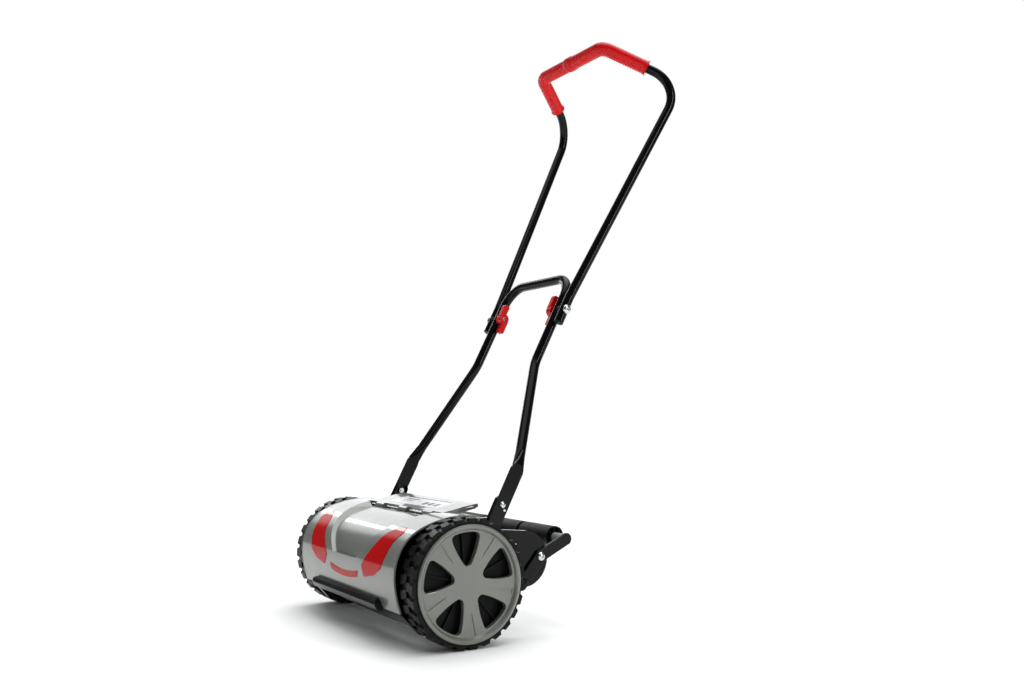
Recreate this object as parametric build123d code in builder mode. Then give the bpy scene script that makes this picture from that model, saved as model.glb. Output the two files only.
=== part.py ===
"""Hand-pushed reel mower: a five-blade reel driven by its two wheels, with a folding tube handle.

Frame (millimetres): +X is the mower's right, +Y its rear, +Z up.  The origin is on the ground, midway
between the wheels and straight below their axles.
"""

import os
from math import acos, cos, degrees, hypot, pi, radians, sin, sqrt, tan

from build123d import *

# ---------------------------------------------------------------- driving dimensions
WHEEL_RADIUS = 108.0          # over the tread
OVERALL_WIDTH = 532.0         # over the two wheel faces
TYRE_WIDTH = 44.0
TYRE_HEIGHT = 12.0            # tread down to the rim it is stretched on
RIM_WALL = 6.0
WEB_THICKNESS = 4.0
WHEEL_LIP = 4.0               # how far the painted cover stands proud of the tyre
PLATE_TO_TYRE = 15.0          # side plate to the tyre beside it, with the roller arm between
HOOD_TO_TYRE = 6.0
PLATE_THICKNESS = 3.0
FLANGE_WIDTH = 10.0
FLANGE_WALL = 2.0
HOOD_WALL = 2.6
REEL_RADIUS = 60.0
REEL_BLADES = 5
BLADE_THICKNESS = 3.0
BLADE_DEPTH = 13.0
BLADE_TWIST = 50.0            # degrees along the reel
REEL_SHAFT_RADIUS = 6.0
AXLE_RADIUS = 8.0
GEAR_MODULE = 2.0
RING_TEETH = 60
PINION_TEETH = 14
GEAR_WIDTH = 14.0
PINION_BEARING_ANGLE = 212.0  # where the reel lies seen from the wheel axle, from +Y towards +Z
TUBE_RADIUS = 9.5
TUBE_WALL = 1.3
GRIP_RADIUS = 14.5
LEG_SPREAD = 111.0            # half the distance between the lower handle's legs at the joint
ROLLER_RADIUS = 20.0
ROLLER_GAP = 8.0              # neck between two drums

# ---------------------------------------------------------------- clearances
RUNNING_FIT = 0.06            # radial, a shaft that turns in its bore
SEAT_FIT = 0.03               # radial, a fixed shaft or screw in its hole
MOVING_GAP = 0.5              # between pieces of different bodies
FACE_GAP = 0.2                # between fixed pieces that lie against each other
GEAR_BACKLASH = 0.24
KNIFE_GAP = 0.4               # between the reel and the bed knife

# ---------------------------------------------------------------- places worked out from them
AXLE_Y, AXLE_Z = 0.0, WHEEL_RADIUS
GEAR_CENTRES = GEAR_MODULE * (RING_TEETH - PINION_TEETH) / 2
REEL_Y = AXLE_Y + GEAR_CENTRES * cos(radians(PINION_BEARING_ANGLE))
REEL_Z = AXLE_Z + GEAR_CENTRES * sin(radians(PINION_BEARING_ANGLE))
FACE_X = OVERALL_WIDTH / 2
TYRE_OUT = FACE_X - WHEEL_LIP
TYRE_IN = TYRE_OUT - TYRE_WIDTH
PLATE_OUT = TYRE_IN - PLATE_TO_TYRE
PLATE_IN = PLATE_OUT - PLATE_THICKNESS
RIM_RADIUS = WHEEL_RADIUS - TYRE_HEIGHT
WEB_IN = TYRE_IN + 20.0       # the drum's web, nearly in the middle of the tyre
WEB_OUT = WEB_IN + WEB_THICKNESS
GEAR_OUT = WEB_IN - 1.0
GEAR_IN = GEAR_OUT - GEAR_WIDTH
HOOD_HALF = TYRE_IN - HOOD_TO_TYRE

os.makedirs("parts", exist_ok=True)


def write(part, node):
    """Label a finished piece and write its STEP file."""
    part.label = node
    export_step(part, f"parts/{node}.step")


def write_pair(part, node):
    """Write a right-hand piece and its mirror image on the left."""
    write(part, f"{node}_right")
    write(mirror(part, about=Plane.YZ), f"{node}_left")


def both_sides(part):
    """The piece and its mirror image as one group of separate solids."""
    return Compound(children=[*part.solids(), *mirror(part, about=Plane.YZ).solids()])


def polar(y, z, radius, angle):
    """A point in the YZ plane, angle in degrees from +Y towards +Z."""
    return (y + radius * cos(radians(angle)), z + radius * sin(radians(angle)))


def rod(x_from, x_to, y, z, radius, bore=0.0):
    """A round bar or tube along X."""
    with BuildPart() as bar:
        with BuildSketch(Plane.YZ.offset(x_from)):
            with Locations((y, z)):
                Circle(radius)
                if bore:
                    Circle(bore, mode=Mode.SUBTRACT)
        extrude(amount=x_to - x_from)
    return bar.part


# ---------------------------------------------------------------- wheels
# Each wheel is a rubber tyre on a moulded drum.  The drum's web carries the hub and, on its inner side,
# a ring gear; a painted cover with five windows closes the outer side.

def gear_points(teeth, tip_radius, root_radius, thickening, centre_angle):
    """Outline of an involute gear, one tooth centred on centre_angle (degrees)."""
    pressure = radians(20)
    pitch_radius = GEAR_MODULE * teeth / 2
    base_radius = pitch_radius * cos(pressure)
    flank = [root_radius + (tip_radius - root_radius) * step / 5 for step in range(6)]
    half_angles = []
    for radius in flank:
        local = acos(min(1.0, base_radius / radius))
        half = pi / (2 * teeth) + (tan(pressure) - pressure) - (tan(local) - local)
        half_angles.append(half + thickening / (2 * pitch_radius))
    points = []
    for tooth in range(teeth):
        middle = radians(centre_angle) + 2 * pi * tooth / teeth
        rising = [(r, middle - a) for r, a in zip(flank, half_angles)]
        falling = [(r, middle + a) for r, a in zip(reversed(flank), reversed(half_angles))]
        points += [(r * cos(a), r * sin(a)) for r, a in rising + falling]
    return points


RING_TIP = GEAR_MODULE * (RING_TEETH / 2 - 0.7)
RING_ROOT = GEAR_MODULE * (RING_TEETH / 2 + 1.25)
RING_OUTER = RING_ROOT + 5.5
RING_SOCKET_WALL = 3.0
HUB_RADIUS = 15.0
HUB_IN = TYRE_IN + 2.0
HUB_OUT = WEB_OUT + 6.0
TREAD_CHAMFER = 3.0
RIM_SETBACK = 1.0             # rim inside each face of the tyre
DRUM_RIBS = 10
DRUM_RIB_WIDTH = 3.0
DRUM_RIB_HEIGHT = 5.0

with BuildPart() as tyre:
    with BuildSketch(Plane.YZ.offset(TYRE_IN)):
        with Locations((AXLE_Y, AXLE_Z)):
            Circle(WHEEL_RADIUS)
            Circle(RIM_RADIUS, mode=Mode.SUBTRACT)
    extrude(amount=TYRE_WIDTH)
    tread_edges = tyre.edges().filter_by(GeomType.CIRCLE).filter_by(lambda e: e.radius > RIM_RADIUS + 1)
    chamfer(tread_edges, length=TREAD_CHAMFER)
write_pair(tyre.part, "tyre")

with BuildPart() as wheel:
    with BuildSketch(Plane.YZ.offset(TYRE_IN + RIM_SETBACK)):
        with Locations((AXLE_Y, AXLE_Z)):
            Circle(RIM_RADIUS)
            Circle(RIM_RADIUS - RIM_WALL, mode=Mode.SUBTRACT)
    extrude(amount=TYRE_WIDTH - 2 * RIM_SETBACK)
    with BuildSketch(Plane.YZ.offset(WEB_IN)):
        with Locations((AXLE_Y, AXLE_Z)):
            Circle(RIM_RADIUS - RIM_WALL)
    extrude(amount=WEB_THICKNESS)
    with BuildSketch(Plane.YZ.offset(HUB_IN)):
        with Locations((AXLE_Y, AXLE_Z)):
            Circle(HUB_RADIUS)
    extrude(amount=HUB_OUT - HUB_IN)
    with BuildSketch(Plane.YZ.offset(WEB_IN - GEAR_WIDTH + 2.0)):
        with Locations((AXLE_Y, AXLE_Z)):
            Circle(RING_OUTER + RING_SOCKET_WALL)
            Circle(RING_OUTER + SEAT_FIT, mode=Mode.SUBTRACT)
    extrude(amount=GEAR_WIDTH - 2.0)
    with BuildSketch(Plane.YZ.offset(WEB_OUT)):
        with Locations((AXLE_Y, AXLE_Z)):
            with PolarLocations((HUB_RADIUS + RIM_RADIUS - RIM_WALL) / 2, DRUM_RIBS, start_angle=23):
                Rectangle(RIM_RADIUS - RIM_WALL - HUB_RADIUS + 1.0, DRUM_RIB_WIDTH)
    extrude(amount=DRUM_RIB_HEIGHT)
    with Locations((WEB_OUT, AXLE_Y, AXLE_Z)):
        Cylinder(AXLE_RADIUS + RUNNING_FIT, 3 * TYRE_WIDTH, rotation=(0, 90, 0), mode=Mode.SUBTRACT)
write_pair(wheel.part, "wheel")

with BuildPart() as ring_gear:
    with BuildSketch(Plane.YZ.offset(GEAR_IN)):
        with Locations((AXLE_Y, AXLE_Z)):
            Circle(RING_OUTER)
            Polygon(
                *gear_points(RING_TEETH, RING_ROOT, RING_TIP, GEAR_BACKLASH / 2, PINION_BEARING_ANGLE),
                align=None,
                mode=Mode.SUBTRACT,
            )
    extrude(amount=GEAR_WIDTH)
    with BuildSketch(Plane.YZ.offset(GEAR_OUT)):
        with Locations((AXLE_Y, AXLE_Z)):
            Circle(RING_OUTER)
            Circle(RING_ROOT + 1.0, mode=Mode.SUBTRACT)
    extrude(amount=WEB_IN - GEAR_OUT)
write_pair(ring_gear.part, "ring_gear")

COVER_LIP_RADIUS = RIM_RADIUS + 2.0
COVER_FACE_RADIUS = RIM_RADIUS - 8.0
COVER_SINK = 6.0              # how deep the cover's face lies behind its lip
COVER_FACE_X = FACE_X - COVER_SINK
COVER_WALL = 2.6
WINDOW_COUNT = 5
WINDOW_ANGLE = 95.0           # first window, from +Y towards +Z
WINDOW_INNER = 24.0
WINDOW_OUTER = COVER_FACE_RADIUS - 3.0
WINDOW_HALF_ANGLE = 19.0
WINDOW_BULGE = 5.0            # how far each side of a window bows out
WINDOW_OUTER_CORNER = 7.0
WINDOW_INNER_CORNER = 8.0
WINDOW_EDGE = 1.4             # rounding where the face turns into a window
WINDOW_DEPTH = 9.5            # wall that runs inwards round each window
WEDGE_INNER = 47.0            # decorative wedges between the windows
WEDGE_HALF_ANGLE = 3.0
WEDGE_DEPTH = 1.4


def window_outline(plane_x, grow, turn):
    """One window's face: a rounded triangle with bowed sides, made larger by grow."""
    outer = WINDOW_OUTER + grow
    half_angle = WINDOW_HALF_ANGLE + degrees(grow / outer)
    tip = polar(AXLE_Y, AXLE_Z, WINDOW_INNER - 2 * grow, turn)
    left = polar(AXLE_Y, AXLE_Z, outer, turn + half_angle)
    right = polar(AXLE_Y, AXLE_Z, outer, turn - half_angle)
    crown = polar(AXLE_Y, AXLE_Z, outer, turn)
    middle_y, middle_z = polar(AXLE_Y, AXLE_Z, (WINDOW_INNER + WINDOW_OUTER) / 2, turn)
    bow = WINDOW_OUTER * sin(radians(WINDOW_HALF_ANGLE)) / 2 + WINDOW_BULGE + grow
    left_bow = polar(middle_y, middle_z, bow, turn + 90)
    right_bow = polar(middle_y, middle_z, bow, turn - 90)
    with BuildSketch(Plane.YZ.offset(plane_x)) as window:
        with BuildLine():
            ThreePointArc(left, crown, right)
            ThreePointArc(right, right_bow, tip)
            ThreePointArc(tip, left_bow, left)
        make_face()
        tips = window.vertices().sort_by(lambda v: hypot(v.X - AXLE_Y, v.Y - AXLE_Z))
        fillet(tips[1:], radius=WINDOW_OUTER_CORNER + grow)
        point = window.vertices().sort_by(lambda v: hypot(v.X - AXLE_Y, v.Y - AXLE_Z))[0]
        fillet(point, radius=WINDOW_INNER_CORNER + grow)
    return window.sketch


with BuildPart() as wheel_cover:
    with BuildSketch(Plane.XY) as cover_section:
        with BuildLine():
            Polyline(
                (COVER_FACE_X, 0),
                (COVER_FACE_X, COVER_FACE_RADIUS),
                (FACE_X - 1.5, COVER_FACE_RADIUS + 2.5),
                (FACE_X, COVER_FACE_RADIUS + 4.5),
                (FACE_X, COVER_LIP_RADIUS - 2.5),
                (FACE_X - 1.5, COVER_LIP_RADIUS),
                (TYRE_OUT + FACE_GAP, COVER_LIP_RADIUS),
                (TYRE_OUT + FACE_GAP, RIM_RADIUS - RIM_WALL - FACE_GAP),
                (COVER_FACE_X - COVER_WALL, RIM_RADIUS - RIM_WALL - FACE_GAP),
                (COVER_FACE_X - COVER_WALL, 0),
                close=True,
            )
        make_face()
    revolve(axis=Axis.X)
    wheel_cover.part = wheel_cover.part.moved(Location((0, AXLE_Y, AXLE_Z)))
    for window in range(WINDOW_COUNT):
        turn = WINDOW_ANGLE + 360 / WINDOW_COUNT * window
        sleeve = window_outline(COVER_FACE_X - WINDOW_DEPTH, COVER_WALL / 2, turn)
        extrude(sleeve, amount=WINDOW_DEPTH - COVER_WALL / 2, dir=(1, 0, 0))
    for window in range(WINDOW_COUNT):
        turn = WINDOW_ANGLE + 360 / WINDOW_COUNT * window
        opening = window_outline(COVER_FACE_X - WINDOW_DEPTH - 1, 0, turn)
        extrude(opening, amount=WINDOW_DEPTH + 2, dir=(1, 0, 0), mode=Mode.SUBTRACT)
    rims = (
        wheel_cover.edges()
        .filter_by_position(Axis.X, COVER_FACE_X - 0.1, COVER_FACE_X + 0.1)
        .filter_by(lambda e: e.length < WINDOW_OUTER)
    )
    fillet(rims, radius=WINDOW_EDGE)
    for wedge in range(WINDOW_COUNT):
        turn = WINDOW_ANGLE + 360 / WINDOW_COUNT * (wedge + 0.5)
        with BuildSketch(Plane.YZ.offset(COVER_FACE_X)):
            with BuildLine():
                Polyline(
                    polar(AXLE_Y, AXLE_Z, WEDGE_INNER, turn),
                    polar(AXLE_Y, AXLE_Z, COVER_FACE_RADIUS - 2, turn + WEDGE_HALF_ANGLE),
                    polar(AXLE_Y, AXLE_Z, COVER_FACE_RADIUS - 2, turn - WEDGE_HALF_ANGLE),
                    close=True,
                )
            make_face()
        extrude(amount=-WEDGE_DEPTH, mode=Mode.SUBTRACT)
write_pair(wheel_cover.part, "wheel_cover")

# Stub axles: shoulder bolts through the side plates, with a washer and a spring clip at the outer end.
AXLE_HEAD = 5.0
AXLE_HEAD_RADIUS = 13.0
AXLE_SHOULDER_RADIUS = 12.5
AXLE_END = HUB_OUT + 5.5
AXLE_WASHER = 1.6
CLIP_GROOVE_X = HUB_OUT + 2.6
CLIP_GROOVE_WIDTH = 1.3
CLIP_GROOVE_DEPTH = 1.2
CLIP_SLACK = 0.1              # between a spring clip and each wall of its groove
with BuildPart() as axle_bolt:
    with BuildSketch(Plane.YZ.offset(PLATE_IN - AXLE_HEAD)):
        with Locations((AXLE_Y, AXLE_Z)):
            RegularPolygon(AXLE_HEAD_RADIUS, 6)
    extrude(amount=AXLE_HEAD)
    with BuildSketch(Plane.YZ.offset(PLATE_IN)):
        with Locations((AXLE_Y, AXLE_Z)):
            Circle(AXLE_RADIUS)
    extrude(amount=AXLE_END - PLATE_IN)
    with BuildSketch(Plane.YZ.offset(PLATE_OUT)):
        with Locations((AXLE_Y, AXLE_Z)):
            Circle(AXLE_SHOULDER_RADIUS)
    extrude(amount=HUB_IN - MOVING_GAP - PLATE_OUT)
    with BuildSketch(Plane.YZ.offset(CLIP_GROOVE_X)):
        with Locations((AXLE_Y, AXLE_Z)):
            Circle(2 * AXLE_RADIUS)
            Circle(AXLE_RADIUS - CLIP_GROOVE_DEPTH, mode=Mode.SUBTRACT)
    extrude(amount=CLIP_GROOVE_WIDTH, mode=Mode.SUBTRACT)
write(both_sides(axle_bolt.part), "axle_bolts")
washer_from = HUB_OUT + MOVING_GAP
axle_washer = rod(
    washer_from, washer_from + AXLE_WASHER, AXLE_Y, AXLE_Z, AXLE_RADIUS + 5, AXLE_RADIUS + SEAT_FIT
)
write(both_sides(axle_washer), "axle_washers")


def spring_clip(x_from, thickness, y, z, outer, inner):
    """An E-shaped clip: a flat ring with a slot so that it pushes into a shaft's groove."""
    with BuildPart() as clip:
        with BuildSketch(Plane.YZ.offset(x_from)):
            with Locations((y, z)):
                Circle(outer)
                Circle(inner, mode=Mode.SUBTRACT)
            with Locations((y, z - outer)):
                Rectangle(1.3 * inner, 2 * outer, mode=Mode.SUBTRACT)
        extrude(amount=thickness)
    return clip.part


axle_clip = spring_clip(
    CLIP_GROOVE_X + CLIP_SLACK,
    CLIP_GROOVE_WIDTH - 2 * CLIP_SLACK,
    AXLE_Y,
    AXLE_Z,
    AXLE_RADIUS + 4,
    AXLE_RADIUS - CLIP_GROOVE_DEPTH + SEAT_FIT,
)
write(both_sides(axle_clip), "axle_clips")

# ---------------------------------------------------------------- reel and its drive
PINION_TIP = GEAR_MODULE * (PINION_TEETH / 2 + 1)
PINION_ROOT = GEAR_MODULE * (PINION_TEETH / 2 - 1.25)
PINION_IN = GEAR_IN + 1.0
PINION_OUT = GEAR_OUT - 0.5
PAWL_HALF = 7.0               # half the length of the pawl, drawn in
PAWL_WIDTH = 4.8
PAWL_HEIGHT = 3.8
PAWL_SLACK = 0.2              # of the pawl in its slot, over both sides
PAWL_X = PINION_IN + 3.0
RATCHET_RADIUS = 7.6
RATCHET_DEPTH = 6.0
RATCHET_NOTCHES = 6
BLADE_HALF_SPAN = PLATE_IN - 13.0
SHAFT_END = WEB_IN - 1.2
SHAFT_GROOVE_X = PINION_OUT + 0.35
SHAFT_GROOVE_WIDTH = 1.1
SHAFT_GROOVE_DEPTH = 1.0

with BuildPart() as reel_shaft:
    with BuildSketch(Plane.YZ.offset(-SHAFT_END)):
        with Locations((REEL_Y, REEL_Z)):
            Circle(REEL_SHAFT_RADIUS)
    extrude(amount=2 * SHAFT_END)
    for side in (-1, 1):
        with Locations((side * PAWL_X, REEL_Y, REEL_Z)):
            Box(PAWL_WIDTH + PAWL_SLACK, PAWL_HEIGHT + PAWL_SLACK, 4 * REEL_SHAFT_RADIUS, mode=Mode.SUBTRACT)
        with BuildSketch(Plane.YZ.offset(side * (SHAFT_GROOVE_X + SHAFT_GROOVE_WIDTH / 2))):
            with Locations((REEL_Y, REEL_Z)):
                Circle(2 * REEL_SHAFT_RADIUS)
                Circle(REEL_SHAFT_RADIUS - SHAFT_GROOVE_DEPTH, mode=Mode.SUBTRACT)
        extrude(amount=SHAFT_GROOVE_WIDTH / 2, both=True, mode=Mode.SUBTRACT)
write(reel_shaft.part, "reel_shaft")

with BuildPart() as pawl:
    with Locations((PAWL_X, REEL_Y, REEL_Z)):
        Box(PAWL_WIDTH, PAWL_HEIGHT, 2 * PAWL_HALF)
write(both_sides(pawl.part), "drive_pawls")

with BuildPart() as pinion:
    with BuildSketch(Plane.YZ.offset(PINION_IN)):
        with Locations((REEL_Y, REEL_Z)):
            Polygon(
                *gear_points(PINION_TEETH, PINION_TIP, PINION_ROOT, -GEAR_BACKLASH / 2, PINION_BEARING_ANGLE),
                align=None,
            )
            Circle(REEL_SHAFT_RADIUS + RUNNING_FIT, mode=Mode.SUBTRACT)
    extrude(amount=PINION_OUT - PINION_IN)
    with BuildSketch(Plane.YZ.offset(PINION_IN)):
        with Locations((REEL_Y, REEL_Z)):
            Circle(RATCHET_RADIUS)
            with PolarLocations(RATCHET_RADIUS, RATCHET_NOTCHES):
                Rectangle(2.0, 3.0)
    extrude(amount=RATCHET_DEPTH, mode=Mode.SUBTRACT)
write_pair(pinion.part, "pinion")

pinion_clip = spring_clip(
    SHAFT_GROOVE_X + CLIP_SLACK,
    SHAFT_GROOVE_WIDTH - 2 * CLIP_SLACK,
    REEL_Y,
    REEL_Z,
    REEL_SHAFT_RADIUS + 2.5,
    REEL_SHAFT_RADIUS - SHAFT_GROOVE_DEPTH + SEAT_FIT,
)
write(both_sides(pinion_clip), "pinion_clips")

BEARING_RADIUS = 11.0
BEARING_COLLAR = 3.0
with BuildPart() as bearing:
    with BuildSketch(Plane.YZ.offset(PLATE_IN - BEARING_COLLAR)):
        with Locations((REEL_Y, REEL_Z)):
            Circle(BEARING_RADIUS + 3)
    extrude(amount=BEARING_COLLAR)
    with BuildSketch(Plane.YZ.offset(PLATE_IN)):
        with Locations((REEL_Y, REEL_Z)):
            Circle(BEARING_RADIUS)
    extrude(amount=PLATE_THICKNESS + BEARING_COLLAR)
    with Locations((PLATE_IN, REEL_Y, REEL_Z)):
        Cylinder(REEL_SHAFT_RADIUS + RUNNING_FIT, 40, rotation=(0, 90, 0), mode=Mode.SUBTRACT)
write(both_sides(bearing.part), "reel_bearings")

# Spiders: star plates on the shaft, one arm under each blade, following the blade's twist.
SPIDER_COUNT = 5
SPIDER_THICKNESS = 3.0
SPIDER_HUB_RADIUS = 18.0
SPIDER_ARM_WIDTH = 12.0
SPIDER_SETBACK = 8.0          # end spiders from the blades' ends
ARM_REACH = REEL_RADIUS - BLADE_DEPTH - FACE_GAP


def blade_angle(x):
    """Where the first blade stands at a station along the reel."""
    return 90 + BLADE_TWIST * x / (2 * BLADE_HALF_SPAN)


spiders = []
for number in range(SPIDER_COUNT):
    station = (BLADE_HALF_SPAN - SPIDER_SETBACK) * (2 * number / (SPIDER_COUNT - 1) - 1)
    with BuildPart() as spider:
        with BuildSketch(Plane.YZ.offset(station - SPIDER_THICKNESS / 2)):
            with Locations((REEL_Y, REEL_Z)):
                Circle(SPIDER_HUB_RADIUS)
                with PolarLocations(ARM_REACH / 2, REEL_BLADES, start_angle=blade_angle(station)):
                    Rectangle(ARM_REACH, SPIDER_ARM_WIDTH)
                Circle(REEL_SHAFT_RADIUS + SEAT_FIT, mode=Mode.SUBTRACT)
        extrude(amount=SPIDER_THICKNESS)
    spiders += spider.part.solids()
write(Compound(children=spiders), "reel_spiders")

BLADE_STATIONS = 9
with BuildPart() as blade:
    for number in range(BLADE_STATIONS):
        station = BLADE_HALF_SPAN * (2 * number / (BLADE_STATIONS - 1) - 1)
        turn = radians(blade_angle(station))
        section = Plane(origin=(station, REEL_Y, REEL_Z), x_dir=(0, cos(turn), sin(turn)), z_dir=(1, 0, 0))
        with BuildSketch(section):
            with Locations((REEL_RADIUS - BLADE_DEPTH / 2, 0)):
                Rectangle(BLADE_DEPTH, BLADE_THICKNESS)
    loft()
reel_axis = Axis((0, REEL_Y, REEL_Z), (1, 0, 0))
blades = [blade.part.rotate(reel_axis, 360 / REEL_BLADES * number) for number in range(REEL_BLADES)]
write(Compound(children=[solid for turned in blades for solid in turned.solids()]), "reel_blades")

# ---------------------------------------------------------------- bed knife
# A hardened strip held under a square bar; its edge lies just clear of the reel.
KNIFE_ANGLE = -60.0           # where the edge touches the reel's circle
KNIFE_THICKNESS = 3.0
KNIFE_DEPTH = 38.0
KNIFE_HALF = PLATE_IN - 8.0
edge_y, edge_z = polar(REEL_Y, REEL_Z, sqrt(REEL_RADIUS**2 + (BLADE_THICKNESS / 2) ** 2) + KNIFE_GAP, KNIFE_ANGLE)
BED_BAR_DEPTH = 20.0
BED_BAR_HEIGHT = 15.0
BED_BAR_Y = edge_y + KNIFE_DEPTH - BED_BAR_DEPTH / 2 + 4.0
BED_BAR_Z = edge_z + BED_BAR_HEIGHT / 2
BED_SCREW_RADIUS = 2.5
BED_SCREWS = 5
BED_SCREW_PITCH = 2 * KNIFE_HALF / BED_SCREWS
BED_SCREW_DEPTH = 12.0
BED_BOLT_RADIUS = 3.0

with BuildPart() as bed_knife:
    with BuildSketch(Plane.YZ.offset(-KNIFE_HALF)):
        with BuildLine():
            Polyline(
                (edge_y, edge_z),
                (edge_y + KNIFE_DEPTH, edge_z),
                (edge_y + KNIFE_DEPTH, edge_z - KNIFE_THICKNESS),
                (edge_y + 2.5, edge_z - KNIFE_THICKNESS),
                close=True,
            )
        make_face()
    extrude(amount=2 * KNIFE_HALF)
    with BuildSketch(Plane.XY.offset(edge_z - KNIFE_THICKNESS)):
        with Locations((0, BED_BAR_Y)):
            with GridLocations(BED_SCREW_PITCH, 1, BED_SCREWS, 1):
                Circle(BED_SCREW_RADIUS + SEAT_FIT)
    extrude(amount=KNIFE_THICKNESS, mode=Mode.SUBTRACT)
write(bed_knife.part, "bed_knife")

with BuildPart() as bed_bar:
    with Locations((0, BED_BAR_Y, BED_BAR_Z)):
        Box(2 * PLATE_IN, BED_BAR_DEPTH, BED_BAR_HEIGHT)
    with BuildSketch(Plane.XY.offset(edge_z)):
        with Locations((0, BED_BAR_Y)):
            with GridLocations(BED_SCREW_PITCH, 1, BED_SCREWS, 1):
                Circle(BED_SCREW_RADIUS + SEAT_FIT)
    extrude(amount=BED_SCREW_DEPTH, mode=Mode.SUBTRACT)
    for side in (-1, 1):
        with Locations((side * PLATE_IN, BED_BAR_Y, BED_BAR_Z)):
            Cylinder(BED_BOLT_RADIUS + SEAT_FIT, 40, rotation=(0, 90, 0), mode=Mode.SUBTRACT)
write(bed_bar.part, "bed_bar")


def screw(x, y, z, shank_radius, length, head_radius, head_height, direction):
    """A domed-head screw: its head sits on the point given and its shank runs along direction."""
    seat = Plane(origin=(x, y, z), z_dir=direction)
    with BuildPart() as fastener:
        with BuildSketch(seat):
            Circle(shank_radius)
        extrude(amount=length)
        with BuildSketch(seat):
            Circle(head_radius)
        extrude(amount=-head_height)
        crown = fastener.faces().sort_by(Axis((x, y, z), direction))[0]
        fillet(crown.edges(), radius=0.7 * head_height)
    return fastener.part


knife_screws = []
knife_screw_length = KNIFE_THICKNESS + BED_SCREW_DEPTH - 2
for number in range(BED_SCREWS):
    place = BED_SCREW_PITCH * (number - (BED_SCREWS - 1) / 2)
    seat_z = edge_z - KNIFE_THICKNESS
    knife_screws += screw(place, BED_BAR_Y, seat_z, BED_SCREW_RADIUS, knife_screw_length, 5, 2.4, (0, 0, 1)).solids()
write(Compound(children=knife_screws), "bed_knife_screws")
bed_bar_bolt = screw(PLATE_OUT, BED_BAR_Y, BED_BAR_Z, BED_BOLT_RADIUS, 18, 6.5, 4, (-1, 0, 0))
write(both_sides(bed_bar_bolt), "bed_bar_bolts")

# ---------------------------------------------------------------- hood
# A moulded shell over the reel.  Its cross-section is one smooth curve from the front lip over the top.
HOOD_OUTLINE = [(-103.5, -48), (-112, -18), (-114, 27), (-94, 70), (-45, 98), (0, 107), (48, 104)]
HOOD_CURVE = Spline(*((y, AXLE_Z + rise) for y, rise in HOOD_OUTLINE))
HOOD_BOTTOM = AXLE_Z + HOOD_OUTLINE[0][1]
HOOD_FRONT_X = 212.0          # half width at which the shapes on the hood's front are laid out
SEAM_Y = -1.0                 # where the hood ends in the middle and the flap begins
FLAP_HALF = 150.0 * HOOD_HALF / HOOD_FRONT_X
FLAP_SIDE_GAP = 1.5
RECESS_DEPTH = 8.0
RECESS_CORNER = 9.0
RECESS_OUTLINE = [(-52, 25), (-83, 54), (-99, 71), (-126, 98), (-140, 108), (-140, 132)]
INSERT_OUTLINE = [
    (80, 16), (91, -2), (130, 5), (157, 19), (168, 41), (173, 64),
    (181, 80), (174, 87), (148, 87), (130, 76), (111, 51), (91, 30),
]
INSERT_CORNER = 4.0
INSERT_DEPTH = 1.5
INSERT_PROUD = 0.7
SMILE_LOW = [(-59, -7), (0, -12.5), (59, -7)]
SMILE_HIGH = [(64, 5), (0, -1.5), (-64, 5)]
CUT_FROM_Y = -140.0           # a plane in front of everything, from which the front shapes are cut


def on_front(points):
    """Outline points of the hood's front, given as (across, above the axle), in the XZ plane."""
    return [(x * HOOD_HALF / HOOD_FRONT_X, AXLE_Z + rise) for x, rise in points]


def hood_inset(distance, samples=16):
    """Points of the hood's curve moved inwards by distance."""
    points = []
    for step in range(samples + 1):
        place = HOOD_CURVE @ (step / samples)
        run = HOOD_CURVE % (step / samples)
        points.append((place.X + run.Y * distance, place.Y - run.X * distance))
    return points


def hood_block(distance, half_width, overrun=0.0):
    """Solid under the hood's curve, inset by distance and run on by overrun at its open sides."""
    points = hood_inset(distance)
    (first_y, first_z), (last_y, last_z) = points[0], points[-1]
    run_on = [(last_y + overrun, last_z)] if overrun else []
    run_back = [(first_y, first_z - overrun)] if overrun else []
    rear_foot = (last_y + overrun, first_z - overrun)
    with BuildPart() as block:
        with BuildSketch(Plane.YZ.offset(-half_width)):
            with BuildLine():
                curve = Spline(*points)
                Polyline(curve @ 1, *run_on, rear_foot, *run_back, curve @ 0)
            make_face()
        extrude(amount=2 * half_width)
    return block.part


def front_prism(points, corner, grow=0.0):
    """A closed outline in the XZ plane, its corners rounded, carried backwards through the hood."""
    with BuildPart() as prism:
        with BuildSketch(Plane.XZ.offset(-CUT_FROM_Y)) as outline:
            Polygon(*on_front(points), align=None)
            fillet(outline.vertices(), radius=corner)
            if grow:
                offset(amount=grow, mode=Mode.REPLACE)
        extrude(amount=CUT_FROM_Y - SEAM_Y)
    return prism.part


recess_points = RECESS_OUTLINE + [(-x, rise) for x, rise in reversed(RECESS_OUTLINE)]
recess = front_prism(recess_points, RECESS_CORNER)
recess_inner = front_prism(recess_points, RECESS_CORNER, HOOD_WALL)
skin = hood_block(0, HOOD_HALF) - (recess & (hood_block(-9, HOOD_HALF, 9) - hood_block(RECESS_DEPTH, HOOD_HALF, 9)))
core = hood_block(HOOD_WALL, HOOD_HALF + 5, 20) - (recess_inner - hood_block(RECESS_DEPTH + HOOD_WALL, HOOD_HALF, 20))

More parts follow.
